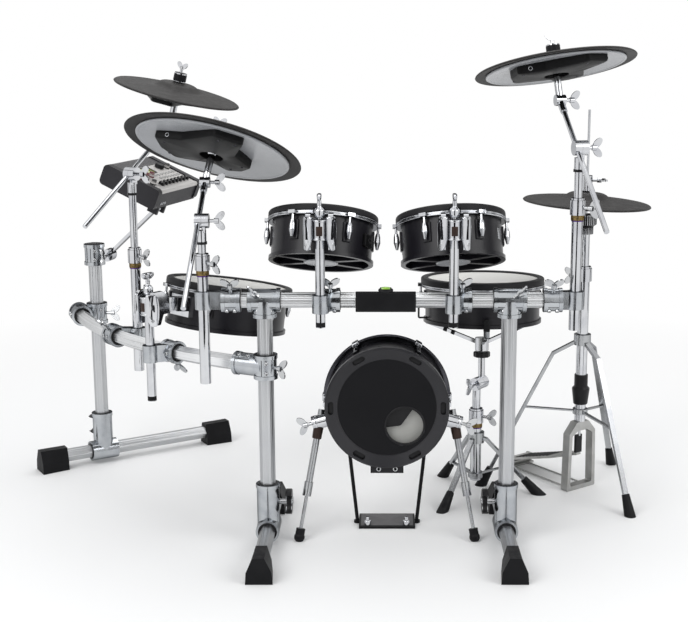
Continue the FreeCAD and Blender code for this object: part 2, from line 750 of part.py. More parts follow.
def pad_hardware(name, frame, rim_r):
    """Chrome hoop with ears, and a lug with its tension rod under each ear."""
    outer = rim_r - RIM_OVERHANG
    top = -RIM_TALL - SEAT
    low = top - HOOP_TALL
    inside = outer + SEAT
    ring = turned(((inside, low), (rim_r - 2, low), (rim_r - 2, top), (inside, top)), FreeCAD.Matrix())
    ear = Part.makeBox(EAR_OUT - 2, EAR_WIDTH, HOOP_TALL, V(outer + 2, -EAR_WIDTH / 2, low))
    hole = Part.makeCylinder(ROD_R + SEAT, HOOP_TALL * 3, V(outer + LUG_OUT, 0, low - HOOP_TALL))
    ears = [radial(ear, angle) for angle in around(LUG_COUNT, -60)]
    hoop = fused(ring, *ears)
    for angle in around(LUG_COUNT, -60):
        hoop = hoop.cut(radial(hole, angle))
    add(name + "_hardware", placed(hoop, frame))
    section = ((0, -LUG_LOW), (ROD_R, -LUG_LOW + 1), (LUG_R, -LUG_LOW + 18), (LUG_R - 1, -LUG_TOP - 8),
               (ROD_R + 1.5, -LUG_TOP), (ROD_R, -LUG_TOP), (ROD_R, top), (0, top))
    lug = turned(section, frame_at(V(outer + LUG_OUT, 0, 0), Z, X))
    for angle in around(LUG_COUNT, -60):
        add(name + "_hardware", placed(radial(lug, angle), frame))


def pad_post(name, base, low, pivot, heading, clear_low):
    """Upright post with its bottom cap, the holder head on top with side recesses, and the top screw."""
    axis = unit(heading.cross(Z))
    top = pivot + Z * (HEAD_TALL / 2)
    head = rod(pivot - Z * (HEAD_TALL / 2), top, HEAD_R)
    tube = rod(base + Z * (low + POST_CAP), pivot, POST_R)
    cap = rod(base + Z * low, base + Z * (low + POST_CAP), POST_R * clear_low)
    screw = rod(top - Z, top + Z * TOP_ROD_LENGTH, TOP_ROD_R)
    grip = top + Z * (TOP_ROD_LENGTH * 0.5)
    wings = beam(grip - axis * WING_LONG, grip + axis * WING_LONG, WING_THICK, WING_SHORT * 1.4)
    nut = rod(top - Z, top + Z * (TOP_ROD_LENGTH * 0.35), BOLT_HUB_R)
    body = fused(tube, head, cap, screw, wings, nut)
    for side in (-1, 1):
        inner = pivot + axis * (side * (HEAD_R - STUB_LENGTH - FIT))
        body = body.cut(rod(inner, pivot + axis * (side * HEAD_R * 2), STUB_R + FIT))
    add(name + "_post", body)


def pad_bracket(name, frame, rim_r, pivot, heading, grip):
    """Forked bracket from the holder head to the shell: grip is the point in the shell that it aims at."""
    axis = unit(heading.cross(Z))
    gap = HEAD_R + FIT
    reach = HEAD_R + BRIDGE_GAP
    back = reach + BRIDGE_DEPTH
    corners = ((-HEAD_R * 0.85, CHEEK_TOP * 0.7), (-HEAD_R * 0.4, CHEEK_TOP), (HEAD_R, CHEEK_TOP),
               (back, CHEEK_R), (back, -CHEEK_R), (HEAD_R, -CHEEK_R), (HEAD_R * 0.5, -CHEEK_LOW),
               (-HEAD_R * 0.6, -CHEEK_LOW), (-HEAD_R, -CHEEK_R))
    shield = [V(ahead, up, 0) for ahead, up in corners]
    pieces = []
    for side in (-1, 1):
        inner = pivot + axis * (side * gap)
        outer = pivot + axis * (side * (gap + CHEEK_THICK))
        middle = (inner + outer) * 0.5
        pieces.append(rod(inner - axis * (side * STUB_LENGTH), outer, STUB_R))
        cheek = Part.Face(rounded(shield, CHEEK_THICK / 4)).extrude(V(0, 0, CHEEK_THICK))
        pieces.append(placed(cheek, frame_at(middle - axis * (CHEEK_THICK / 2), axis, heading)))
    bridge = pivot + heading * (reach + BRIDGE_DEPTH / 2)
    wide = axis * (gap + CHEEK_THICK)
    pieces.append(beam(bridge - wide, bridge + wide, BRIDGE_DEPTH, CHEEK_R * 2))
    pieces.append(beam(bridge, grip, NECK_WIDTH, NECK_TALL))
    outer = rim_r - RIM_OVERHANG + SEAT
    plate = slab(frame, V(-NECK_WIDTH, -outer - CHEEK_THICK, -LUG_LOW - 8), V(NECK_WIDTH, 0, -LUG_TOP + 4))
    body = fused(plate, *pieces)
    core = placed(Part.makeCylinder(outer, PAD_TALL * 2, V(0, 0, -PAD_TALL * 1.5)), frame)
    add(name + "_hardware", body.cut(core))


def hung_pad(name, centre, normal, rim_r, base, post_low, pivot_height):
    """Pad on an upright post: shell, rim, head, hardware, bracket and post."""
    pivot = base + Z * pivot_height
    flat_way = V(centre.x - base.x, centre.y - base.y, 0)
    heading = unit(flat_way)
    frame = pad_frame(centre, normal, heading * -1)
    pad_shell(name, frame, rim_r)
    pad_top(name, frame, rim_r)
    pad_hardware(name, frame, rim_r)
    middle = centre - unit(normal) * ((LUG_TOP + LUG_LOW) / 2)
    pad_bracket(name, frame, rim_r, pivot, heading, middle)
    pad_post(name, base, post_low, pivot, heading, 1.0)


TOM_BASES = (V(-TOM_X, -TOM_POST_FRONT, 0), V(TOM_X, -TOM_POST_FRONT, 0))
FLOOR_POINT, FLOOR_HEADING, FLOOR_OUT = side_bar_at(FLOOR_TOM_POST_AT)
FLOOR_BASE = FLOOR_POINT + FLOOR_OUT * FLOOR_TOM_POST_OUT
FLOOR_BASE = V(FLOOR_BASE.x, FLOOR_BASE.y, 0)


def toms():
    """The two small toms on the front bar and the floor tom on the side bar, with their clamps."""
    lean = math.radians(TOM_LEAN)
    roll = math.radians(TOM_ROLL)
    for name, base, side in zip(("tom_left", "tom_right"), TOM_BASES, (-1, 1)):
        centre = V(base.x, TOM_CENTRE_Y, TOM_CENTRE_Z)
        normal = V(-side * math.sin(roll), math.sin(lean), math.cos(lean))
        hung_pad(name, centre, normal, SMALL_RIM_R, base, TOM_POST_LOW, TOM_PIVOT_HEIGHT)
        ring_at = V(base.x + HOLDER_RING / 2, 0, BAR_HEIGHT)
        tube_at = V(base.x, base.y, BAR_HEIGHT)
        holder(ring_at, X, tube_at, POST_R, FIT, FRONT_BORE, V(0, -0.5, 1))
    hung_pad("floor_tom", FLOOR_TOM_CENTRE, FLOOR_TOM_NORMAL, LARGE_RIM_R, FLOOR_BASE, FLOOR_TOM_POST_LOW,
             FLOOR_TOM_PIVOT_HEIGHT)
    ring_at, along, outward = side_bar_at(FLOOR_TOM_POST_AT - FLOOR_TOM_RING_AHEAD)
    tube_at = FLOOR_BASE + Z * SIDE_BAR_HEIGHT
    holder(ring_at, along, tube_at, POST_R, FIT, SIDE_BORE, outward * -0.5 - Z)


# Stands

def ratchet(pivot, axis, radius, near, far):
    """Disc of a tilter: a short cylinder along the hinge axis between two distances from the pivot."""
    return rod(pivot + axis * near, pivot + axis * far, radius)


def height_collar(base, tube_r, inner_r, top):
    """Collar that locks a sliding tube at the top of a fixed one."""
    ring = pipe(base + Z * (top - COLLAR_TALL), base + Z * top, tube_r + COLLAR_WALL, inner_r)
    lip = pipe(base + Z * top, base + Z * (top + COLLAR_WALL), tube_r + COLLAR_WALL / 2, inner_r)
    return ring, lip


def fixed_tube(base, tube_r, inner_r, low, top, bolt_out):
    """Fixed lower tube of a stand with its height collar and the collar's wing bolt."""
    tube = pipe(base + Z * low, base + Z * top, tube_r, inner_r)
    add("stand_tubes", fused(tube, *height_collar(base, tube_r, inner_r, top)))
    out = unit(bolt_out)
    start = base + Z * (top - COLLAR_TALL / 2) + out * (tube_r + COLLAR_WALL + SEAT)
    add("wing_bolts", wing_bolt(start, out, Z))


def strut(start, end, width, thick, side):
    """Flat bar between two points with its width along side."""
    return beam(start, end, thick, width, side)


def under_floor(ground):
    """Block below the floor that cuts a tip off flat round a point on the floor."""
    corner = ground - V(TIP_LENGTH, TIP_LENGTH, TIP_LENGTH)
    return Part.makeBox(TIP_LENGTH * 2, TIP_LENGTH * 2, TIP_LENGTH, corner)


def rubber_tip(ground, run):
    """Rubber cone on the end of a leg that runs down to a point on the floor, cut off flat at the floor."""
    top = ground - run * TIP_LENGTH
    cone = Part.makeCone(TIP_TOP_R, TIP_LOW_R, TIP_LENGTH + TIP_LOW_R, top, run)
    add("rubber_tips", cone.cut(under_floor(ground)))


def ball_tip(ground, run):
    """Rubber ball with a broad neck on the end of a kick leg, cut off flat at the floor."""
    middle = ground - run * (SPUR_TIP_R * 0.75)
    ball = Part.makeSphere(SPUR_TIP_R, middle)
    neck = rod(ground - run * SPUR_TIP_TALL, middle, SPUR_TIP_R * 0.85)
    add("rubber_tips", fused(ball, neck).cut(under_floor(ground)))


def tripod(base, tube_r, hub_height, bend_out, bend_height, brace_hub, brace_out, feet):
    """Leg hub, three legs with their braces and lower hub, and a rubber tip under each leg."""
    hub_r = tube_r + COLLAR_WALL * 1.6
    hub = pipe(base + Z * (hub_height - COLLAR_TALL / 2), base + Z * (hub_height + COLLAR_TALL / 3),
               hub_r, tube_r + SEAT)
    low_hub = pipe(base + Z * (brace_hub - LEG_WIDTH / 2), base + Z * (brace_hub + LEG_WIDTH / 2),
                   hub_r - COLLAR_WALL / 2, tube_r + SEAT)
    add("stand_legs", hub, low_hub)
    bore = rod(base, base + Z * (hub_height * 2), tube_r + SEAT)
    for foot in feet:
        out = unit(foot - base)
        side = Z.cross(out)
        knee = base + out * bend_out + Z * bend_height
        ground = V(foot.x, foot.y, 0)
        run = unit(ground - knee)
        ankle = ground - run * (TIP_LENGTH + SEAT)
        shin = knee + run * (-LEG_THICK / 4)
        share = (brace_out - bend_out) / ((ground - base).Length - bend_out)
        join = knee + (ground - knee) * share
        leg = fused(strut(base + Z * hub_height, knee, LEG_WIDTH, LEG_THICK, side),
                    strut(shin, ankle, LEG_WIDTH, LEG_THICK, side),
                    rod(knee - side * (LEG_WIDTH / 2), knee + side * (LEG_WIDTH / 2), LEG_THICK / 2),
                    strut(base + Z * brace_hub, join, LEG_WIDTH * 0.8, BRACE_THICK, side))
        add("stand_legs", leg.cut(hub).cut(low_hub).cut(bore))
        rubber_tip(ground, run)


def snare_stand():
    """Tripod, sliding post with tilter, basket, and the snare pad that the basket holds."""
    inner = SNARE_POST_R + FIT
    axis = unit(SNARE_AXIS)
    fixed_tube(SNARE_STAND, SNARE_TUBE_R, inner, SNARE_TUBE_LOW, SNARE_TUBE_TOP, V(1, -0.4, 0))
    tripod(SNARE_STAND, SNARE_TUBE_R, SNARE_LEG_HUB, SNARE_TUBE_R * 2, SNARE_LEG_HUB - LEG_THICK,
           SNARE_BRACE_HUB, TIP_LENGTH * 1.7, SNARE_FEET)
    pivot = SNARE_STAND + Z * SNARE_PIVOT_HEIGHT
    post = rod(SNARE_STAND + Z * (SNARE_TUBE_TOP - SNARE_POST_DEPTH), pivot, SNARE_POST_R)
    add("snare_post", fused(post, ratchet(pivot, axis, RATCHET_R, -RATCHET_HALF, RATCHET_HALF)))
    start = pivot - axis * (RATCHET_HALF + SEAT)
    add("snare_post", wing_bolt(start, axis * -1, Z))
    normal = unit(SNARE_NORMAL)
    foot = pivot + axis * (RATCHET_HALF + FIT + DRUM_LENGTH / 2)
    centre = foot + normal * SNARE_RISE
    frame = pad_frame(centre, SNARE_NORMAL, Y * -1)
    pad_shell("snare", frame, LARGE_RIM_R)
    pad_top("snare", frame, LARGE_RIM_R)
    pad_hardware("snare", frame, LARGE_RIM_R)
    outer = LARGE_RIM_R - RIM_OVERHANG + FLANGE_OUT
    arm_z = -PAD_TALL - BASKET_DROP
    hub_low = V(0, 0, arm_z - BASKET_SLOPE - BASKET_HUB_TALL / 2)
    hub = Part.makeCylinder(BASKET_HUB_R, BASKET_HUB_TALL, hub_low)
    post = Part.makeCylinder(BASKET_POST_R, SNARE_RISE + arm_z - BASKET_SLOPE, V(0, 0, -SNARE_RISE))
    half = BASKET_ARM / 2
    arm = beam(V(0, 0, arm_z - BASKET_SLOPE), V(outer + half, 0, arm_z), BASKET_ARM, BASKET_ARM)
    hook = Part.makeBox(BASKET_ARM, BASKET_ARM * 1.6, BASKET_DROP + BASKET_GRIP + half,
                        V(outer + 2 * SEAT, -BASKET_ARM * 0.8, arm_z - half))
    rest = Part.makeBox(BASKET_ARM * 2, BASKET_ARM * 1.6, BASKET_DROP - SEAT + half,
                        V(outer - BASKET_ARM, -BASKET_ARM * 0.8, arm_z - half))
    pieces = [post]
    for angle in around(3, -90):
        pieces.extend(radial(piece, angle) for piece in (arm, hook, rest))
    basket = placed(fused(hub, *pieces), frame)
    near = RATCHET_HALF + FIT
    drum = ratchet(pivot, axis, RATCHET_R, near, near + DRUM_LENGTH)
    add("snare_basket", fused(basket, drum))


def cymbal_axes(cymbal):
    """Boom pivot, hinge axis, boom direction, the boom's foot at the mast, the tilter and the pad's frame."""
    pivot = V(cymbal.x, cymbal.y, cymbal.pivot)
    boom = unit(cymbal.boom)
    axis = unit(boom.cross(Z))
    foot = pivot + axis * (LAP - FIT - LAP_DISC / 2)
    tilter = foot + boom * cymbal.reach
    frame = frame_at(tilter + unit(cymbal.normal) * cymbal.rise, cymbal.normal, axis)
    return pivot, axis, boom, foot, tilter, frame


def cymbal_stand(cymbal):
    """Fixed tube, sliding mast and boom of one cymbal: mast and boom meet in a lap joint."""
    base = V(cymbal.x, cymbal.y, 0)
    pivot, axis, boom, foot, tilter, frame = cymbal_axes(cymbal)
    fixed_tube(base, LOWER_TUBE_R, MAST_R + FIT, cymbal.low, cymbal.top, V(0.8, -0.6, 0))
    neck_top = pivot - Z * (RATCHET_R + COLLAR_WALL)
    mast = rod(base + Z * (cymbal.top - MAST_DEPTH), neck_top - Z * COLLAR_WALL, MAST_R)
    neck = rod(neck_top - Z * (RATCHET_R * 1.6), neck_top, MAST_R + COLLAR_WALL / 3)
    disc = ratchet(pivot, axis, RATCHET_R, LAP, LAP + LAP_DISC)
    lap = frame_at(pivot, Z, axis)
    link = slab(lap, V(LAP, -MAST_R, -RATCHET_R - COLLAR_WALL * 2), V(MAST_R, MAST_R, 0))
    add(cymbal.name + "_mast", fused(mast, neck, disc, link))
    add(cymbal.name + "_mast", wing_bolt(pivot + axis * (LAP + LAP_DISC + SEAT), axis, Z))
    drum = ratchet(pivot, axis, RATCHET_R, LAP - FIT - LAP_DISC, LAP - FIT)
    arm = rod(foot - boom * cymbal.tail, tilter, BOOM_R)
    sleeve = rod(tilter - boom * (TILTER_R * 3), tilter, BOOM_R + COLLAR_WALL / 2)
    disc = rod(tilter - axis * TILTER_HALF, tilter + axis * TILTER_HALF, TILTER_R)
    up = unit(cymbal.normal)
    edge = tilter + up * cymbal.rise
    ball_at = edge - up * SEAT_BALL_DROP
    ball = Part.makeSphere(SEAT_BALL_R, ball_at)
    stem = rod(tilter, ball_at - up * (SEAT_BALL_R / 2), BOOM_R + COLLAR_WALL / 2)
    bell_top = edge + up * (BOW_RISE + BELL_RISE)
    stopper_low = bell_top + up * STOPPER_GAP
    stopper_top = stopper_low + up * STOPPER_TALL
    tip = stopper_top + up * ((BOLT_SHANK + BOLT_HUB_R) * NUT_SIZE)
    spindle = rod(tilter, tip, CYMBAL_ROD_R)
    add(cymbal.name + "_boom", fused(arm, drum, sleeve, disc, stem, ball, spindle))
    add(cymbal.name + "_boom", pipe(stopper_low, stopper_top, STOPPER_R, CYMBAL_ROD_R + SEAT))
    nut = wing_bolt(stopper_top + up * SEAT, up, axis, NUT_SIZE)
    add(cymbal.name + "_boom", nut.cut(rod(tilter, tip, CYMBAL_ROD_R + SEAT)))
    add(cymbal.name + "_boom", wing_bolt(tilter + axis * (TILTER_HALF + SEAT), axis, Z))


def cymbal_section(radius, hole_r):
    """Corners of a cymbal pad's section, from the hole along the underside to the edge and back on top."""
    low = BOW_RISE - PAD_THICK
    bell = BOW_RISE + BELL_RISE
    under = ((hole_r, bell - PAD_THICK), (BELL_TOP_R, bell - PAD_THICK),
             (BELL_R * 0.7, low + BELL_RISE * 0.72), (BELL_R * 0.93, low + BELL_RISE * 0.2), (BELL_R, low))
    edge = ((radius - EDGE_HALF * 2, -EDGE_HALF), (radius, -EDGE_HALF / 2), (radius, EDGE_HALF / 2),
            (radius - EDGE_HALF * 2, EDGE_HALF * 2))
    over = ((BELL_R, BOW_RISE), (BELL_R * 0.93, BOW_RISE + BELL_RISE * 0.25),
            (BELL_R * 0.72, bell - BELL_RISE * 0.2), (BELL_TOP_R, bell), (hole_r, bell))
    return under + edge + over


def cymbal_pad(cymbal):
    """Rubber pad, and the plastic plate under it with the controller box, both seated on the rod's ball."""
    frame = cymbal_axes(cymbal)[-1]
    radius = cymbal.size / 2
    add(cymbal.name + "_pad", turned(cymbal_section(radius, PAD_HOLE_R), frame))
    under_r = radius * UNDER_SHARE
    bell_low = BOW_RISE - PAD_THICK - SEAT
    slope = (bell_low + EDGE_HALF) / (radius - EDGE_HALF * 2 - BELL_R)
    rim_low = bell_low - slope * (under_r - BELL_R) - SEAT
    top = ((0, bell_low), (BELL_R, bell_low), (under_r, rim_low))
    low = tuple((r, height - UNDER_THICK) for r, height in reversed(top))
    plate = turned(top + low, FreeCAD.Matrix())
    socket = Part.makeSphere(SEAT_BALL_R + FIT, V(0, 0, -SEAT_BALL_DROP))
    add(cymbal.name + "_underside", placed(plate.cut(socket), frame))
    corners = [V(x * radius, y * radius, 0) for x, y in BOX_LEFT_ARM + BOX_NEAR_ARM + BOX_FAR_ARM]
    outline = rounded(corners, BOX_EDGE)
    box = Part.Face(outline).extrude(V(0, 0, BOX_DEPTH + BOW_RISE))
    box.translate(V(0, 0, -BOX_DEPTH))
    above = turned(((0, bell_low - UNDER_THICK - SEAT), (BELL_R, bell_low - UNDER_THICK - SEAT),
                    (under_r, rim_low - UNDER_THICK - SEAT), (under_r, BOW_RISE * 2), (0, BOW_RISE * 2)),
                   FreeCAD.Matrix())
    well = Part.makeCylinder(BOX_HOLE_R, BOX_DEPTH * 4, V(0, 0, -BOX_DEPTH * 2))
    add(cymbal.name + "_underside", placed(box.cut(above).cut(well), frame))


LEFT_POINT, LEFT_HEADING, LEFT_OUT = side_bar_at(LEFT_CRASH_AT)
LEFT_BASE = LEFT_POINT - LEFT_OUT * LEFT_CRASH_INSIDE
LEFT_CRASH = Cymbal("left_crash", LEFT_BASE.x, LEFT_BASE.y, LEFT_CRASH_LOW, LEFT_CRASH_TOP, LEFT_CRASH_PIVOT,
                    LEFT_CRASH_BOOM, LEFT_CRASH_TAIL, LEFT_CRASH_REACH, LEFT_CRASH_NORMAL, LEFT_CRASH_RISE,
                    LEFT_CRASH_SIZE)


def cymbals():
    """Three boom cymbals, with the clamps that hold their tubes on the bars."""
    for cymbal in (RIDE, RIGHT_CRASH, LEFT_CRASH):
        cymbal_stand(cymbal)
        cymbal_pad(cymbal)
    for cymbal, end, side in ((RIDE, BAR_LEFT, 1), (RIGHT_CRASH, BAR_RIGHT, -1)):
        ring_at = V(end + side * HOLDER_RING / 2, 0, BAR_HEIGHT)
        tube_at = V(cymbal.x, cymbal.y, BAR_HEIGHT)
        holder(ring_at, X, tube_at, LOWER_TUBE_R, SEAT, FRONT_BORE, V(0, -0.6, 1))
    ring_at, along, outward = side_bar_at(LEFT_CRASH_AT + LEFT_CRASH_RING_AHEAD)
    tube_at = V(LEFT_BASE.x, LEFT_BASE.y, SIDE_BAR_HEIGHT)
    holder(ring_at, along, tube_at, LOWER_TUBE_R, SEAT, SIDE_BORE, outward + Z)


# Hi-hat

HIHAT_SIDE = Z.cross(unit(PEDAL_HEADING))
HEEL = HIHAT + unit(PEDAL_HEADING) * PEDAL_LENGTH


def hihat_stand():
    """Tube, cup, tripod, spring housing and cast pedal frame with the heel plate and its two floor rods."""
    bore = PULL_ROD_R * 2
    tube = pipe(HIHAT + Z * FRAME_TALL, HIHAT + Z * HIHAT_TUBE_TOP, HIHAT_TUBE_R, bore)
    upper = pipe(HIHAT + Z * HIHAT_TUBE_TOP, HIHAT + Z * HIHAT_UPPER_TOP, HIHAT_UPPER_R, bore)
    collar = height_collar(HIHAT, HIHAT_TUBE_R, bore, HIHAT_TUBE_TOP)
    cup_frame = frame_at(HIHAT + Z * HIHAT_UPPER_TOP, Z, X)
    step = HIHAT_CUP_R * 0.7
    cup = turned(((bore, 0), (step, 0), (step, HIHAT_CUP_TALL * 0.4), (HIHAT_CUP_R, HIHAT_CUP_TALL * 0.5),
                  (HIHAT_CUP_R, HIHAT_CUP_TALL), (bore, HIHAT_CUP_TALL)), cup_frame)
    add("stand_tubes", fused(tube, upper, *collar), cup)
    out = unit(V(-1, -0.3, 0))
    start = HIHAT + Z * (HIHAT_TUBE_TOP - COLLAR_TALL / 2) + out * (HIHAT_TUBE_R + COLLAR_WALL + SEAT)
    add("wing_bolts", wing_bolt(start, out, Z))
    tripod(HIHAT, HIHAT_TUBE_R, HIHAT_LEG_HUB, HIHAT_BEND_OUT, HIHAT_BEND_HEIGHT, HIHAT_BRACE_HUB,
           HIHAT_BRACE_OUT, HIHAT_FEET)
    inner = HIHAT_TUBE_R + SEAT
    middle = (HOUSING_LOW + HOUSING_TOP) / 2
    waist = HOUSING_R * 0.76
    housing = ((inner, HOUSING_LOW), (HOUSING_R * 0.8, HOUSING_LOW), (HOUSING_R, middle), (waist, middle + 8),
               (waist, HOUSING_TOP), (inner, HOUSING_TOP))
    add("hihat_frame", turned(housing, frame_at(HIHAT, Z, X)))
    half = FRAME_WIDTH / 2
    shoulder = FRAME_TALL * 0.84
    def arch(foot, low, knee, crown, top):
        right = [V(foot, low, 0), V(foot * 0.92, knee, 0), V(crown, top, 0)]
        left = [V(-corner.x, corner.y, 0) for corner in reversed(right)]
        return rounded(right + left, FRAME_BAR / 3)
    outline = arch(half, 0, shoulder, FRAME_BAR * 1.8, FRAME_TALL)
    window = arch(half - FRAME_BAR, FRAME_BAR, shoulder - FRAME_BAR / 2, FRAME_BAR * 1.4,
                  FRAME_TALL - FRAME_BAR * 2)
    loop = Part.Face(outline).cut(Part.Face(window))
    heading = unit(PEDAL_HEADING)
    upright = frame_at(HIHAT - heading * (FRAME_DEPTH / 2), heading, HIHAT_SIDE)
    body = placed(loop.extrude(V(0, 0, FRAME_DEPTH)), upright)
    body = body.cut(rod(HIHAT + Z * (FRAME_TALL / 2), HIHAT + Z * (FRAME_TALL + 1), bore))
    add("hihat_frame", body)
    plate = frame_at(HEEL, Z, heading)
    wide = PEDAL_WIDTH / 2 + HEEL_KNUCKLE_R
    deep = HEEL_KNUCKLE_R * 2
    pieces = [slab(plate, V(-deep, -wide, 0), V(deep * 1.6, wide, HEEL_PLATE_THICK))]
    for side in (-1, 1):
        inner = side * (PEDAL_WIDTH / 2 + FIT)
        outer = side * wide
        low = V(-HEEL_KNUCKLE_R, min(inner, outer), 0)
        high = V(HEEL_KNUCKLE_R, max(inner, outer), HEEL_HEIGHT + HEEL_KNUCKLE_R)
        pieces.append(slab(plate, low, high))
        wire = side * FRAME_WIDTH * 0.28
        near = HIHAT + heading * (FRAME_DEPTH / 2 - 1) + HIHAT_SIDE * wire + Z * (HEEL_PLATE_THICK / 2)
        pieces.append(rod(near, HEEL + HIHAT_SIDE * wire + Z * (HEEL_PLATE_THICK / 2), HEEL_PLATE_THICK / 3))
    ends = HIHAT_SIDE * wide
    pin = HEEL + Z * HEEL_HEIGHT
    pieces.append(rod(pin - ends, pin + ends, HEEL_PIN_R))
    add("hihat_frame", fused(*pieces).cut(body))


def hihat_moving():
    """Footboard on its heel pin, and the pull rod with its strap, clutch and pad."""
    heading = unit(PEDAL_HEADING)
    pin = HEEL + Z * HEEL_HEIGHT
    toe = HIHAT + Z * TOE_HEIGHT
    slope = unit(toe - pin)
    plate = frame_at(pin, slope, Z)
    half = PEDAL_WIDTH / 2
    length = (toe - pin).Length
    corners = [V(0, -half, 0), V(0, half, 0), V(0, half, length * 0.72), V(0, STRAP_WIDTH, length * 0.93),
               V(0, -STRAP_WIDTH, length * 0.93), V(0, -half, length * 0.72)]
    face = Part.Face(Part.makePolygon(corners + corners[:1]))
    board = placed(face.extrude(V(PEDAL_THICK, 0, 0)), plate)
    ends = HIHAT_SIDE * half
    knuckle = rod(pin - ends, pin + ends, HEEL_KNUCKLE_R)
    tongue = slab(plate, V(0, -STRAP_WIDTH / 2, length * 0.9), V(PEDAL_THICK, STRAP_WIDTH / 2, length))
    board = fused(board, knuckle, tongue).cut(rod(pin - ends * 2, pin + ends * 2, HEEL_PIN_R + FIT / 5))
    add("hihat_footboard", board)
    strap_low = TOE_HEIGHT + PEDAL_THICK + FIT
    low = HIHAT + heading * (STRAP_THICK / 2 + FIT)
    strap = beam(low + Z * strap_low, low + Z * PULL_ROD_LOW, STRAP_THICK, STRAP_WIDTH, HIHAT_SIDE)
    add("hihat_rod", fused(rod(HIHAT + Z * (PULL_ROD_LOW - 2), HIHAT + Z * PULL_ROD_TOP, PULL_ROD_R), strap))
    normal = unit(HIHAT_NORMAL)
    centre = HIHAT + Z * HIHAT_PAD_HEIGHT
    hole = PULL_ROD_R * 1.5
    add("hihat_pad", turned(cymbal_section(HIHAT_SIZE / 2, hole), frame_at(centre, normal, X)))
    clutch_low = HIHAT_PAD_HEIGHT + BOW_RISE + BELL_RISE + 2 * BELL_TOP_R * abs(normal.x)
    ring = pipe(HIHAT + Z * clutch_low, HIHAT + Z * (clutch_low + CLUTCH_TALL), CLUTCH_R, PULL_ROD_R + SEAT)
    add("hihat_rod", ring)
    start = HIHAT + Z * (clutch_low + CLUTCH_TALL * 0.7) + X * (CLUTCH_R + SEAT)
    add("hihat_rod", wing_bolt(start, X, Y))
    under = HIHAT_PAD_HEIGHT + BOW_RISE + BELL_RISE - PAD_THICK - 2 * BELL_TOP_R * abs(normal.x)
    nut = pipe(HIHAT + Z * (under - CLUTCH_R), HIHAT + Z * under, CLUTCH_R * 0.8, PULL_ROD_R + SEAT)
    add("hihat_rod", nut)


# Kick tower

KICK_AXIS = V(0, 0, KICK_HEIGHT)
KICK_BACK = KICK_FRONT + KICK_RING_DEPTH + KICK_SHELL_DEPTH


def kick_frame(depth):
    """Local frame on the kick's axis: z points to the back, y up, at a depth behind the front posts."""
    return frame_at(KICK_AXIS + Y * depth, Y, V(-1, 0, 0))


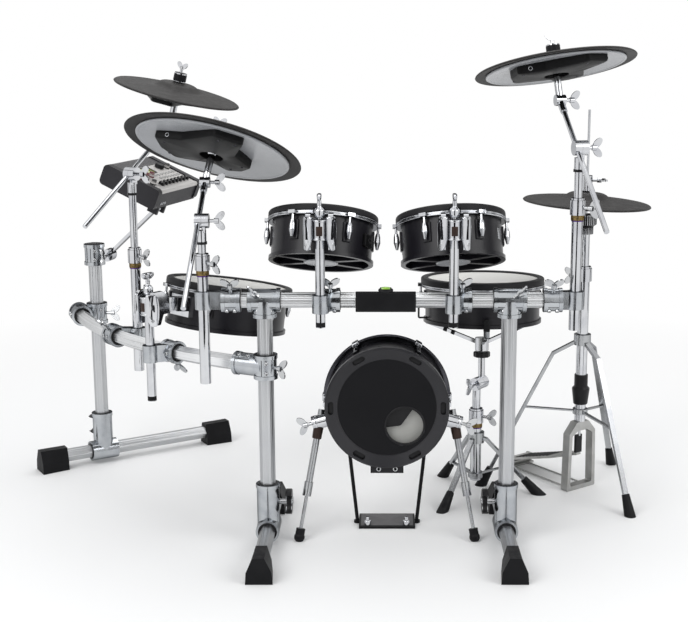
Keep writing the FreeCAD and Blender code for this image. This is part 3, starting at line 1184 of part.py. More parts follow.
def kick_body():
    """Front cover with slots and port, shell, jack panel, batter head and chrome hoop with lugs."""
    front = kick_frame(KICK_FRONT)
    soft = KICK_RING_DEPTH / 4
    skin_back = KICK_SKIN_BACK + KICK_SKIN_THICK
    section = ((0, KICK_SKIN_BACK), (KICK_SKIN_R, KICK_SKIN_BACK), (KICK_SKIN_R, KICK_SKIN_BACK - KICK_STEP),
               (KICK_RING_R - soft, 0), (KICK_RING_R, soft), (KICK_RING_R, KICK_RING_DEPTH),
               (KICK_SKIN_R, KICK_RING_DEPTH), (KICK_SKIN_R, skin_back), (0, skin_back))
    cover = turned(section, FreeCAD.Matrix())
    middle = (KICK_SKIN_R + KICK_RING_R) / 2
    half = SLOT_LENGTH / 2
    near = middle - SLOT_WIDTH / 2
    far = middle + SLOT_WIDTH / 2
    corners = [V(x, y, -SLOT_DEPTH) for x, y in ((near, -half), (far, -half), (far, half), (near, half))]
    slot = Part.Face(rounded(corners, SLOT_WIDTH * 0.45)).extrude(V(0, 0, SLOT_DEPTH * 2))
    for angle in around(LUG_COUNT, 0):
        cover = cover.cut(radial(slot, angle))
    port = Part.makeCylinder(PORT_R, KICK_RING_DEPTH * 2, V(-PORT_X, -PORT_DROP, -KICK_RING_DEPTH / 2))
    add("kick_front_cover", placed(cover.cut(port), front))
    shell_front = kick_frame(KICK_FRONT + KICK_RING_DEPTH + SEAT)
    inner = KICK_SHELL_R - SHELL_WALL
    depth = KICK_SHELL_DEPTH - 2 * SEAT
    section = ((inner, 0), (KICK_SHELL_R, 0), (KICK_SHELL_R, depth), (inner, depth))
    add("kick_shell", turned(section, shell_front))
    panel_top = KICK_HEIGHT - KICK_SHELL_R + JACK_PANEL_TALL / 2
    near = KICK_FRONT + KICK_RING_DEPTH + SEAT
    low = V(-JACK_PANEL_WIDTH / 2, near, panel_top - JACK_PANEL_TALL * 1.5)
    panel = Part.makeBox(JACK_PANEL_WIDTH, JACK_PANEL_DEPTH, JACK_PANEL_TALL * 1.5, low)
    panel = panel.cut(rod(KICK_AXIS, KICK_AXIS + Y * (KICK_BACK * 2), KICK_SHELL_R + SEAT))
    for side in (-1, 1):
        mouth = V(side * JACK_SPACING / 2, near - 1, low.z + JACK_PANEL_TALL * 0.4)
        panel = panel.cut(rod(mouth, mouth + Y * (JACK_DEPTH + 1), JACK_R))
    add("kick_shell", panel)
    back = kick_frame(KICK_BACK)
    hoop_in = KICK_SHELL_R + SEAT
    section = ((hoop_in, -KICK_HOOP_DEPTH), (KICK_HOOP_R, -KICK_HOOP_DEPTH), (KICK_HOOP_R, 0), (hoop_in, 0))
    hoop = turned(section, FreeCAD.Matrix())
    hole = Part.makeCylinder(KICK_ROD_R + SEAT, KICK_HOOP_DEPTH * 3, V(KICK_LUG_R, 0, -KICK_HOOP_DEPTH * 2))
    lug_low = KICK_HOOP_DEPTH - KICK_SHELL_DEPTH
    lug_top = lug_low + KICK_LUG_TALL
    section = ((0, lug_low), (KICK_LUG_SIZE, lug_low), (KICK_LUG_SIZE, lug_top), (KICK_ROD_R, lug_top + KICK_ROD_R),
               (KICK_ROD_R, 0), (0, 0))
    lug = turned(section, frame_at(V(KICK_LUG_R, 0, 0), Z, X))
    for angle in around(LUG_COUNT, 0):
        hoop = hoop.cut(radial(hole, angle))
        add("kick_hardware", placed(radial(lug, angle), back))
    add("kick_hardware", placed(hoop, back))
    skin = HEAD_THICK + HEAD_DROP
    lip = KICK_SHELL_R - RIM_LIP
    edge = KICK_HOOP_R - 2
    head = ((0, SEAT), (edge, SEAT), (edge, RIM_TALL / 2), (lip, RIM_TALL / 2), (lip, skin), (0, skin))
    add("kick_batter_head", turned(head, back))


def kick_spurs():
    """Leg brackets on the shell with their wing bolts, and the two legs with rubber tips."""
    tilt = math.radians(SPUR_ANGLE)
    near = KICK_FRONT + SPUR_FROM_FRONT
    for side in (-1, 1):
        out = V(side * math.sin(tilt), 0, math.cos(tilt))
        middle = KICK_AXIS + Y * near
        hold = middle + out * (KICK_SHELL_R + SPUR_OUT * SPUR_HOLD)
        inside = middle + out * (KICK_SHELL_R - LUG_R)
        outside = middle + out * (KICK_SHELL_R + SPUR_OUT)
        block = rod(inside, outside, SPUR_BLOCK / 2)
        ground = V(side * SPUR_FOOT_X, SPUR_FOOT_Y, 0)
        run = unit(ground - hold)
        top = hold - run * SPUR_ABOVE
        knee = hold + (ground - hold) * SPUR_JOIN
        ankle = ground - run * (SPUR_TIP_TALL + SEAT)
        leg = fused(rod(top, knee, SPUR_R), rod(knee - run, ankle, SPUR_ROD_R),
                    rod(knee - run * COLLAR_TALL, knee, SPUR_R + COLLAR_WALL / 2))
        add("stand_legs", leg)
        block = block.cut(rod(KICK_AXIS, KICK_AXIS + Y * (KICK_BACK * 2), KICK_SHELL_R + SEAT))
        add("kick_hardware", block.cut(rod(top - run, knee, SPUR_R + SEAT)))
        bolt = middle + out * (KICK_SHELL_R + SPUR_OUT + SEAT)
        add("wing_bolts", wing_bolt(bolt, out, Z))
        ball_tip(ground, run)


def kick_base():
    """Pedal plate with two anchor screws, and the stays that carry it under the shell."""
    low = V(-BASE_PLATE_WIDTH / 2, BASE_PLATE_NEAR, 0)
    deep = BASE_PLATE_FAR - BASE_PLATE_NEAR
    pieces = []
    middle = (BASE_PLATE_NEAR + BASE_PLATE_FAR) / 2
    for side in (-1, 1):
        foot = V(side * STAY_LOW_X, middle, BASE_PLATE_THICK / 2)
        drop = math.sqrt(KICK_SHELL_R ** 2 - STAY_X ** 2)
        top = V(side * STAY_X, middle - deep / 4, KICK_HEIGHT - drop + STAY_R)
        pieces.append(rod(foot, top, STAY_R))
        pieces.append(Part.makeCylinder(STAY_R * 2, BASE_PLATE_THICK, V(foot.x, foot.y, 0)))
        anchor = V(side * ANCHOR_X, BASE_PLATE_NEAR + ANCHOR_R * 3, 0)
        pieces.append(Part.makeCylinder(ANCHOR_R, ANCHOR_TALL, anchor))
        pieces.append(Part.makeCylinder(ANCHOR_R * 2, BASE_PLATE_THICK * 2, anchor))
    plate = Part.makeBox(BASE_PLATE_WIDTH, deep, BASE_PLATE_THICK, low)
    body = fused(plate, *pieces)
    add("kick_pedal_plate", body.cut(rod(KICK_AXIS, KICK_AXIS + Y * (KICK_BACK * 2), KICK_SHELL_R + SEAT)))


# Sound module

MODULE = frame_at(MODULE_CENTRE, MODULE_LONG.cross(MODULE_ACROSS), MODULE_LONG)
MODULE_UP = unit(MODULE_LONG.cross(MODULE_ACROSS))
MODULE_X = unit(MODULE_LONG)
MODULE_Y = MODULE_UP.cross(MODULE_X)
MODULE_PIVOT = MODULE_CENTRE - MODULE_UP * (MODULE_TALL + ARM_DROP) + MODULE_Y * ARM_PIVOT_Y
DISPLAY_AT = (-14.0, 20.0)
DIAL_AT = (66.0, 22.0)
KNOB_PLACES = ((-94.0, -9.0), (-66.0, -9.0), (-38.0, -9.0), (-88.0, -44.0), (96.0, 14.0))
FADER_ROW = -MODULE_WIDTH / 2 + FADER_TRAVEL * 1.4


def on_panel(x, y, up=0.0):
    """Point on the module's panel."""
    return MODULE_CENTRE + MODULE_X * x + MODULE_Y * y + MODULE_UP * up


def module_case():
    """Case with two rounded end blocks, and the two ears of its tilt bracket underneath."""
    half = MODULE_LENGTH / 2
    deep = MODULE_WIDTH / 2
    low = -PANEL_THICK - SEAT
    body = Part.makeBox(MODULE_LENGTH, MODULE_WIDTH, MODULE_TALL + low, V(-half, -deep, -MODULE_TALL))
    strip_from = PANEL_BACK + SEAT
    blocks = [Part.makeBox(MODULE_LENGTH, deep - strip_from, 1 - low, V(-half, strip_from, low - 1))]
    for side in (-1, 1):
        start = half - END_BLOCK if side > 0 else -half - END_PROUD
        block = Part.makeBox(END_BLOCK + END_PROUD, MODULE_WIDTH + 2 * END_PROUD, MODULE_TALL + END_PROUD,
                             V(start, -deep - END_PROUD, -MODULE_TALL))
        blocks.append(block.makeFillet(END_ROUND, [e for e in block.Edges if e.BoundBox.XLength > END_BLOCK]))
        inner = side * (ARM_WIDTH / 2 + FIT)
        outer = inner + side * MODULE_EAR
        pin_z = -MODULE_TALL - ARM_DROP
        corner = V(min(inner, outer), ARM_PIVOT_Y - ARM_PIN_R * 3, pin_z - ARM_PIN_R * 2)
        blocks.append(Part.makeBox(MODULE_EAR, ARM_PIN_R * 6, ARM_DROP + ARM_PIN_R * 2, corner))
        start = V(side * SEAT * 2, ARM_PIVOT_Y, pin_z)
        blocks.append(Part.makeCylinder(ARM_PIN_R, abs(outer - start.x), start, X * side))
    add("module_case", placed(fused(body, *blocks), MODULE))


def module_panel():
    """Panel with its display, the fixed knobs, and wells for the buttons, the dial and the fader stems."""
    half = MODULE_LENGTH / 2 - END_BLOCK - SEAT
    near = PANEL_MARGIN - MODULE_WIDTH / 2
    plate = Part.makeBox(half * 2, PANEL_BACK - near, PANEL_THICK, V(-half, near, -PANEL_THICK))
    for x, y in button_places():
        reach = BUTTON_SIZE / 2 + FIT
        corner = V(x - reach, y - reach, -BUTTON_DEPTH - 1.5)
        plate = plate.cut(Part.makeBox(reach * 2, reach * 2, PANEL_THICK, corner))
    for x in fader_places():
        wide = FADER_STEM / 2 + FIT
        long = FADER_TRAVEL + FADER_STEM
        corner = V(x - wide, FADER_ROW - long / 2, 1 - PANEL_THICK)
        plate = plate.cut(Part.makeBox(wide * 2, long, PANEL_THICK, corner))
    x, y = DIAL_AT
    plate = plate.cut(Part.makeCylinder(DIAL_SPINDLE_R + FIT / 5, PANEL_THICK, V(x, y, -PANEL_THICK + 1)))
    x, y = DISPLAY_AT
    corner = V(x - DISPLAY_LENGTH / 2, y - DISPLAY_WIDTH / 2, -1.5)
    plate = plate.cut(Part.makeBox(DISPLAY_LENGTH, DISPLAY_WIDTH, PANEL_THICK, corner))
    add("module_panel", placed(plate, MODULE))
    glass = Part.makeBox(DISPLAY_LENGTH - 1, DISPLAY_WIDTH - 1, 1, corner + V(0.5, 0.5, SEAT))
    add("module_panel", placed(glass, MODULE))
    for x, y in KNOB_PLACES:
        section = ((0, SEAT), (KNOB_R, SEAT), (KNOB_R * 0.8, KNOB_TALL), (0, KNOB_TALL))
        add("module_panel", turned(section, frame_at(on_panel(x, y), MODULE_UP, MODULE_X)))


def button_places():
    """Centres of the buttons on the panel: rows between the display and the faders."""
    first = -9.0
    places = []
    for row in range(BUTTON_ROWS):
        for column in range(BUTTON_COLUMNS):
            places.append((-10.0 + column * BUTTON_PITCH, first - row * BUTTON_PITCH))
    return places


def fader_places():
    """Places of the faders along the panel's long side."""
    return [-60.0 + k * FADER_PITCH for k in range(FADER_COUNT)]


def module_controls():
    """Data dial on its spindle, fader caps on their stems, and the buttons in their wells."""
    x, y = DIAL_AT
    low = -PANEL_THICK + 1 + FIT
    section = ((0, low), (DIAL_SPINDLE_R, low), (DIAL_SPINDLE_R, FIT), (DIAL_R, FIT), (DIAL_R, DIAL_TALL - 2),
               (DIAL_R - 2, DIAL_TALL), (0, DIAL_TALL))
    add("module_dial", turned(section, frame_at(on_panel(x, y), MODULE_UP, MODULE_X)))
    for x in fader_places():
        corner = V(x - FADER_STEM / 2, FADER_ROW - FADER_STEM / 2, 1 + FIT - PANEL_THICK)
        stem = Part.makeBox(FADER_STEM, FADER_STEM, PANEL_THICK + FIT, corner)
        corner = V(x - FADER_CAP / 2, FADER_ROW - FADER_CAP * 0.75, FIT)
        cap = Part.makeBox(FADER_CAP, FADER_CAP * 1.5, FADER_CAP, corner)
        cap = cap.makeChamfer(FADER_CAP / 4, [e for e in cap.Edges if e.BoundBox.ZMin > FADER_CAP / 2])
        add("module_faders", placed(fused(cap, stem), MODULE))
    for x, y in button_places():
        half = BUTTON_SIZE / 2
        corner = V(x - half, y - half, FIT - BUTTON_DEPTH)
        key = Part.makeBox(BUTTON_SIZE, BUTTON_SIZE, BUTTON_DEPTH + BUTTON_PROUD - FIT, corner)
        add("module_buttons", placed(key, MODULE))


def module_arm():
    """Clamp on the rear post, and the slotted arm up to the pin under the module."""
    centre = REAR_POST + Z * (REAR_TOP - SLEEVE_LENGTH / 2)
    half = Z * (SLEEVE_LENGTH / 2)
    low = REAR_TOP - SLEEVE_LENGTH
    body = lipped(centre - half, centre + half)
    add("holder_clamps", body.cut(post_bore(REAR_POST, low - 1, REAR_TOP + 1, REAR_FOOT_SIDE)))
    flat_way = V(MODULE_PIVOT.x - centre.x, MODULE_PIVOT.y - centre.y, 0)
    heading = unit(flat_way)
    start = centre + heading * (CLAMP_R + SEAT + RATCHET_R)
    side = Z.cross(heading)
    drum = rod(start - side * (ARM_WIDTH / 2), start + side * (ARM_WIDTH / 2), RATCHET_R)
    bar = beam(start, MODULE_PIVOT, ARM_WIDTH * 0.8, ARM_THICK, Z)
    eye_half = MODULE_X * (ARM_WIDTH / 2)
    eye = rod(MODULE_PIVOT - eye_half, MODULE_PIVOT + eye_half, ARM_PIN_R * 2)
    pin = rod(MODULE_PIVOT - eye_half * 2, MODULE_PIVOT + eye_half * 2, ARM_PIN_R + FIT / 5)
    add("module_arm", fused(drum, bar, eye).cut(pin))
    out = side * -1
    add("wing_bolts", wing_bolt(start + out * (ARM_WIDTH / 2 + SEAT), out, Z))


def build():
    """Make every piece, move the kit's footprint to the origin and write one file for each node."""
    rack_tubes()
    rack_feet()
    tee_joints()
    side_bar_joints()
    level_plate()
    toms()
    snare_stand()
    cymbals()
    hihat_stand()
    hihat_moving()
    kick_body()
    kick_spurs()
    kick_base()
    module_arm()
    module_case()
    module_panel()
    module_controls()
    kit = Part.makeCompound([solid for solids in nodes.values() for solid in solids])
    box = kit.optimalBoundingBox(False, False)
    shift = V(-box.Center.x, -box.Center.y, -box.ZMin)
    print("size", round(box.XLength, 1), round(box.YLength, 1), round(box.ZLength, 1))
    print("origin in the layout", round(-shift.x, 3), round(-shift.y, 3), round(-shift.z, 3))
    os.makedirs("parts", exist_ok=True)
    for name, solids in sorted(nodes.items()):
        node = Part.makeCompound(solids)
        node.translate(shift)
        node.exportStep("parts/" + name + ".step")
        volume = sum(solid.Volume for solid in solids)
        valid = all(solid.isValid() for solid in solids)
        print(name, len(solids), "solids", round(volume / 1000, 1), "cm3", valid)
    return shift


SHIFT = build()
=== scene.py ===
# %% [markdown]
# An electronic drum kit, dressed for its picture. This lesson adds what the solids leave plain: fluted
# tube skins, grooved rubber cymbals, soft rims and heads, the black nylon and rubber fittings, the
# controls of the sound module, and a finish for every surface.

# %% Load the frame
import json
import math
import bmesh
import bpy
import numpy as np
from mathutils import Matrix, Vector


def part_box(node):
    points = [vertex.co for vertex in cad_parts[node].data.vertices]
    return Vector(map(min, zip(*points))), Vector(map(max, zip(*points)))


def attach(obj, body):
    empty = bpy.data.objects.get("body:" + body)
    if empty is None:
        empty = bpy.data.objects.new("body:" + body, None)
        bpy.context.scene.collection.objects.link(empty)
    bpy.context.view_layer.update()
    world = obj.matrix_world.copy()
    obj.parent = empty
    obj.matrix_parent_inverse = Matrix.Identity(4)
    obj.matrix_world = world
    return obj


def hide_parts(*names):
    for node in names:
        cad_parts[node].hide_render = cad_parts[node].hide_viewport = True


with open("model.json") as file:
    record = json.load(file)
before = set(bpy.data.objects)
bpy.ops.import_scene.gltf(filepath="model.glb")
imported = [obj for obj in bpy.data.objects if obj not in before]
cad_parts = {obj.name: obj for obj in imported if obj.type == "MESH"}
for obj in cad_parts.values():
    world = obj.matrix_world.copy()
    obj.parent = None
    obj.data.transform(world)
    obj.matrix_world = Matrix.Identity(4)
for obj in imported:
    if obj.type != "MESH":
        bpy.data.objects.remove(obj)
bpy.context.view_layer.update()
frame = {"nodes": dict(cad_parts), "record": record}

# %% [markdown]
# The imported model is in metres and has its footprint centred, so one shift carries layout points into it.
# The kick's front cover tells the shift: its middle is at x = 0 in the layout, and its face is 20 mm behind
# the front posts.

# %% Layout and frames
COVER_FACE = 20.0
cover_low, cover_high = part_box("kick_front_cover")
LAYOUT = np.array([(cover_low.x + cover_high.x) / 2, cover_low.y - COVER_FACE / 1000, 0.0])
X, Y, Z = np.eye(3)


def unit(vector):
    """The vector divided by its length."""
    vector = np.asarray(vector, float)
    return vector / np.linalg.norm(vector)


def place_at(origin, z_axis, x_hint):
    """Local frame (origin, rows x y z): z along z_axis, x as near to x_hint as it can be."""
    z = unit(z_axis)
    y = unit(np.cross(z, x_hint))
    return np.asarray(origin, float), np.stack([np.cross(y, z), y, z])


def carried(points, place):
    """Local points in the layout: origin + x times the first axis + y times the second + z times the third."""
    return place[0] + np.asarray(points, float) @ place[1]


print("layout shift", LAYOUT.round(4))

# %% [markdown]
# Every new shape here is a grid of points worked out by numpy: rows run along a profile or a path, and
# columns run round it. One helper turns such grids into a mesh. It joins the rows and columns with faces of
# four corners, welds the points that meet at seams and poles, turns the faces outwards and keeps edges
# sharp where they are steep.

# %% From grids to a piece
SHARP_EDGE, WELD, THIN = 38.0, 2e-6, 1e-7


def grid_faces(rows, columns, wrap_rows, wrap_columns):
    """Corner numbers of the faces between neighbouring grid points, and their place from 0 to 1 both ways."""
    first = np.arange(rows if wrap_rows else rows - 1)
    second = np.arange(columns if wrap_columns else columns - 1)
    a, b = np.meshgrid(first, second, indexing="ij")
    corners = ((a, b), (a + 1, b), (a + 1, b + 1), (a, b + 1))
    index = np.stack([(p % rows) * columns + q % columns for p, q in corners], -1)
    spot = np.stack([np.stack([q / columns, p / max(rows - 1, 1)], -1) for p, q in corners], -2)
    return index.reshape(-1, 4), spot.reshape(-1, 4, 2)


def piece(name, grids, body, finish, stands_for=()):
    """One object from grids (points, wrap_rows, wrap_columns) in layout millimetres, riding on a body."""
    points, faces, spots = [], [], []
    count = 0
    for grid, wrap_rows, wrap_columns in grids:
        rows, columns = grid.shape[:2]
        index, spot = grid_faces(rows, columns, wrap_rows, wrap_columns)
        points.append(grid.reshape(-1, 3))
        faces.append(index + count)
        spots.append(spot)
        count += rows * columns
    points = np.concatenate(points) / 1000 + LAYOUT
    faces = np.concatenate(faces)
    mesh = bpy.data.meshes.new(name)
    mesh.from_pydata(points, [], faces)
    layer = mesh.uv_layers.new(name="Along")
    layer.data.foreach_set("uv", np.concatenate(spots).astype(np.float32).ravel())
    work = bmesh.new()
    work.from_mesh(mesh)
    bmesh.ops.remove_doubles(work, verts=work.verts, dist=WELD)
    bmesh.ops.dissolve_degenerate(work, edges=work.edges, dist=THIN)
    bmesh.ops.recalc_face_normals(work, faces=work.faces)
    work.to_mesh(mesh)
    work.free()
    mesh.shade_smooth()
    mesh.set_sharp_from_angle(angle=math.radians(SHARP_EDGE))
    mesh.materials.append(finish)
    made = bpy.data.objects.new(name, mesh)
    bpy.context.scene.collection.objects.link(made)
    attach(made, body)
    if stands_for:
        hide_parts(*stands_for)
    print(name, len(mesh.vertices), "points", len(mesh.polygons), "faces, on", body)


# %% [markdown]
# A few ways of making a shape cover the whole kit. A turned shape carries a profile of (radius, height)
# round an axis. A swept shape carries a closed section along a path. A ring block is a block with a hole,
# whose outline is a radius for each angle. A rounded outline softens the corners of a plain polygon, as
# moulding and casting do.

# %% Shape makers
SIDE_SHARE = 0.45
TINY = 1e-9


def around(count):
    """Angles of a full turn in equal steps."""
    return np.linspace(0, 2 * np.pi, count, endpoint=False)


def polar(radius, angle, height):
    """Local points: radius times cosine and sine of the angle, and the height."""
    return np.stack([radius * np.cos(angle), radius * np.sin(angle), height], -1)


def circle(radius, count=96):
    """Points of a circle."""
    return polar(radius, around(count), np.zeros(count))[:, :2]


def rounded(corners, radius, steps=4, closed=True):
    """Outline whose corners are quadratic curves between points at most radius away on the two sides."""
    corners = np.asarray(corners, float)
    reached = []
    for step in (1, -1):
        way = np.roll(corners, step, axis=0) - corners
        length = np.linalg.norm(way, axis=1)[:, None]
        reached.append(corners + way / length * np.minimum(radius, length * SIDE_SHARE))
    start, end = reached
    if not closed:
        start[0] = end[0] = corners[0]
        start[-1] = end[-1] = corners[-1]
    t = np.linspace(0, 1, steps)[None, :, None]
    curve = (1 - t) ** 2 * start[:, None] + 2 * t * (1 - t) * corners[:, None] + t ** 2 * end[:, None]
    return curve.reshape(-1, corners.shape[1])


def turned(profile, place, count=96, closed=True, ripple=None):
    """Profile of (radius, height) carried round local z; ripple adds a share of the radius by angle."""
    profile = np.asarray(profile, float)
    angle = around(count)
    radius = profile[:, :1] * np.ones(count)
    if ripple is not None:
        radius = radius * (1 + ripple(angle)[None, :])
    height = profile[:, 1:2] * np.ones(count)
    return carried(polar(radius, angle, height), place), closed, True


def lathe(corners, soft, place, count=64, closed=True, ripple=None, steps=4):
    """Turned shape whose profile is a list of corners, rounded."""
    return turned(rounded(corners, soft, steps, closed), place, count, closed, ripple)


def ring(inner, outer, low, high, place, count=64, soft=0.8):
    """Ring with a rounded section."""
    return lathe([(inner, low), (outer, low), (outer, high), (inner, high)], soft, place, count)


def swept(section, path, x_hint):
    """Closed section of (x, y) carried along a path, square to it; each end is closed at its middle."""
    path = np.asarray(path, float)
    run = np.gradient(path, axis=0)
    z = run / np.linalg.norm(run, axis=1)[:, None]
    y = np.cross(z, np.asarray(x_hint, float))
    y = y / np.linalg.norm(y, axis=1)[:, None]
    x = np.cross(y, z)
    rings = path[:, None] + section[None, :, :1] * x[:, None] + section[None, :, 1:2] * y[:, None]
    first, last = (np.repeat(end[:, None], len(section), axis=1) for end in (path[:1], path[-1:]))
    return np.concatenate([first, rings, last]), False, True


def polar_outline(corners, count=360, soft=2):
    """Radius of a polygon at each angle about the origin: nearest hit of a ray, averaged over neighbours."""
    start = np.asarray(corners, float)[None]
    angle = around(count)
    way = circle(1.0, count)[:, None]
    edge = np.roll(start, -1, axis=1) - start
    cross = way[..., 0] * edge[..., 1] - way[..., 1] * edge[..., 0]
    cross = np.where(np.abs(cross) < TINY, TINY, cross)
    far = (start[..., 0] * edge[..., 1] - start[..., 1] * edge[..., 0]) / cross
    share = (start[..., 0] * way[..., 1] - start[..., 1] * way[..., 0]) / cross
    hit = (far > 0) & (share >= -1e-6) & (share <= 1 + 1e-6)
    radius = np.where(hit, far, np.inf).min(axis=1)
    window = np.stack([np.roll(radius, k) for k in range(-soft, soft + 1)])
    return angle, window.mean(axis=0)


def ring_block(outer, inner, levels, place):
    """Block round local z: at each angle a closed loop of (share from inner to outer radius, height)."""
    angle, reach = outer
    radius = inner + (reach[None, :] - inner) * levels[:, :1]
    height = levels[:, 1:2] * np.ones(len(angle))
    return carried(polar(radius, angle, height), place), True, True


print("shape makers ready")

# %% [markdown]
# Finishes. Real surfaces are never one flat colour: moulded plastic and rubber have a fine grain and two
# tones in patches, plated steel is smudged, drawn aluminium keeps its die lines, and dust settles on what
# faces up. Each of these is a node group that is built once. A finish then places the groups it needs with
# its own values in front of its own shader.

# %% Node groups
def new_group(name, inputs, outputs):
    """Empty shader node group with named sockets, and its input and output nodes."""
    tree = bpy.data.node_groups.new(name, "ShaderNodeTree")
    for label, kind, value in inputs:
        socket = tree.interface.new_socket(name=label, in_out="INPUT", socket_type="NodeSocket" + kind)
        socket.default_value = value
    for label, kind in outputs:
        tree.interface.new_socket(name=label, in_out="OUTPUT", socket_type="NodeSocket" + kind)
    return tree, tree.nodes.new("NodeGroupInput"), tree.nodes.new("NodeGroupOutput")


def feed(tree, socket, value):
    """Set a socket to a number, or link another socket to it."""
    if isinstance(value, (int, float)):
        socket.default_value = value
    else:
        tree.links.new(value, socket)


def noise(tree, scale, detail, vector=None):
    """Noise texture in Object coordinates, or along a given vector."""
    node = tree.nodes.new("ShaderNodeTexNoise")
    node.inputs["Detail"].default_value = detail
    if vector is None:
        vector = tree.nodes.new("ShaderNodeTexCoord").outputs["Object"]
    tree.links.new(vector, node.inputs["Vector"])
    feed(tree, node.inputs["Scale"], scale)
    return node.outputs["Fac"]


def ranged(tree, value, low, high, to_low=0.0, to_high=1.0):
    """Value carried from one range to another; the new ends may be numbers or sockets."""
    node = tree.nodes.new("ShaderNodeMapRange")
    tree.links.new(value, node.inputs["Value"])
    for label, end in (("From Min", low), ("From Max", high), ("To Min", to_low), ("To Max", to_high)):
        feed(tree, node.inputs[label], end)
    return node.outputs["Result"]


def mixed(tree, share, first, second):
    """Two colours mixed by a share."""
    node = tree.nodes.new("ShaderNodeMix")
    node.data_type = "RGBA"
    tree.links.new(share, node.inputs["Factor"])
    tree.links.new(first, node.inputs[6])
    tree.links.new(second, node.inputs[7])
    return node.outputs[2]


def combined(tree, first, second, operation="MULTIPLY"):
    """Product of two values, or another sum of them."""
    node = tree.nodes.new("ShaderNodeMath")
    node.operation = operation
    tree.links.new(first, node.inputs[0])
    tree.links.new(second, node.inputs[1])
    return node.outputs[0]


def give(tree, made, *values):
    """Link values to the outputs of a group, in order."""
    for socket, value in zip(made.inputs, values):
        tree.links.new(value, socket)
    return tree


GREY = (0.5, 0.5, 0.5, 1.0)


def make_grain():
    """Colour in two tones by slow noise, roughness by both noises, height by the fine one."""
    tree, given, made = new_group(
        "Grain", [("Colour", "Color", GREY), ("Second Colour", "Color", GREY), ("Scale", "Float", 900.0),
                  ("Patch Scale", "Float", 9.0), ("Low", "Float", 0.4), ("High", "Float", 0.6)],
        [("Colour", "Color"), ("Roughness", "Float"), ("Height", "Float")])
    take = given.outputs
    fine = noise(tree, take["Scale"], 3.0)
    slow = noise(tree, take["Patch Scale"], 4.0)
    tone = mixed(tree, ranged(tree, slow, 0.35, 0.65), take["Colour"], take["Second Colour"])
    rough = ranged(tree, combined(tree, fine, slow), 0.1, 0.42, take["Low"], take["High"])
    return give(tree, made, tone, rough, fine)


def make_dust():
    """Pale dust where the surface faces up, broken up by noise."""
    tree, given, made = new_group(
        "Settled Dust", [("Colour", "Color", GREY), ("Dust Colour", "Color", (0.42, 0.41, 0.4, 1.0)),
                         ("Amount", "Float", 0.2)], [("Colour", "Color")])
    take = given.outputs
    split = tree.nodes.new("ShaderNodeSeparateXYZ")
    tree.links.new(tree.nodes.new("ShaderNodeNewGeometry").outputs["Normal"], split.inputs[0])
    up = ranged(tree, split.outputs["Z"], 0.35, 1.0)
    broken = ranged(tree, noise(tree, 60.0, 6.0), 0.4, 0.75)
    share = combined(tree, combined(tree, up, broken), take["Amount"])
    return give(tree, made, mixed(tree, share, take["Colour"], take["Dust Colour"]))


def make_lines():
    """Drawn or brushed lines: noise that is stretched along the second coordinate of the piece's own map."""
    tree, given, made = new_group(
        "Drawn Lines", [("Across", "Float", 180.0), ("Low", "Float", 0.2), ("High", "Float", 0.4)],
        [("Roughness", "Float"), ("Height", "Float")])
    take = given.outputs
    spot = tree.nodes.new("ShaderNodeUVMap")
    spot.uv_map = "Along"
    split = tree.nodes.new("ShaderNodeSeparateXYZ")
    tree.links.new(spot.outputs[0], split.inputs[0])
    joined = tree.nodes.new("ShaderNodeCombineXYZ")
    tree.links.new(combined(tree, split.outputs["X"], take["Across"]), joined.inputs["X"])
    tree.links.new(split.outputs["Y"], joined.inputs["Y"])
    lines = noise(tree, 1.0, 5.0, joined.outputs[0])
    return give(tree, made, ranged(tree, lines, 0.3, 0.7, take["Low"], take["High"]), lines)


def make_smudge():
    """Plated metal: roughness and tone vary with slow smudges, height with fine specks."""
    tree, given, made = new_group(
        "Smudges", [("Colour", "Color", GREY), ("Smudge Colour", "Color", GREY), ("Scale", "Float", 22.0),
                    ("Low", "Float", 0.06), ("High", "Float", 0.2)],
        [("Colour", "Color"), ("Roughness", "Float"), ("Height", "Float")])
    take = given.outputs
    slow = noise(tree, take["Scale"], 5.0)
    tone = mixed(tree, ranged(tree, slow, 0.42, 0.68), take["Colour"], take["Smudge Colour"])
    rough = ranged(tree, slow, 0.35, 0.7, take["Low"], take["High"])
    return give(tree, made, tone, rough, noise(tree, 700.0, 2.0))


GRAIN = make_grain()
DUST = make_dust()
LINES = make_lines()
SMUDGE = make_smudge()
print("node groups", [g.name for g in bpy.data.node_groups])

# %% [markdown]
# A finish is a material with one shader. Moulded finishes use the grain and the dust. Plated finishes use
# the smudges. The rack tubes use the drawn lines, which follow the map of each tube from end to end.

# %% Finishes
def rgba(colour):
    """Colour with full opacity."""
    return (*colour, 1.0)


def start_finish(name):
    """New material with its tree and shader."""
    made = bpy.data.materials.new(name)
    made.use_nodes = True
    return made, made.node_tree, made.node_tree.nodes["Principled BSDF"]


def set_values(node, **values):
    """Set values of a node by name, with _ for a space."""
    for label, value in values.items():
        node.inputs[label.replace("_", " ")].default_value = value


def use_group(tree, group, **values):
    """Place a node group in a material and set its values."""
    node = tree.nodes.new("ShaderNodeGroup")
    node.node_tree = group
    set_values(node, **values)
    return node


def dress(tree, shader, tone, worn, depth):
    """Colour from one group; roughness, and a bump of a depth in millimetres, from another."""
    bump = tree.nodes.new("ShaderNodeBump")
    set_values(bump, Strength=1.0, Distance=depth / 1000)
    tree.links.new(tone.outputs["Colour"], shader.inputs["Base Color"])
    tree.links.new(worn.outputs["Roughness"], shader.inputs["Roughness"])
    tree.links.new(worn.outputs["Height"], bump.inputs["Height"])
    tree.links.new(bump.outputs["Normal"], shader.inputs["Normal"])


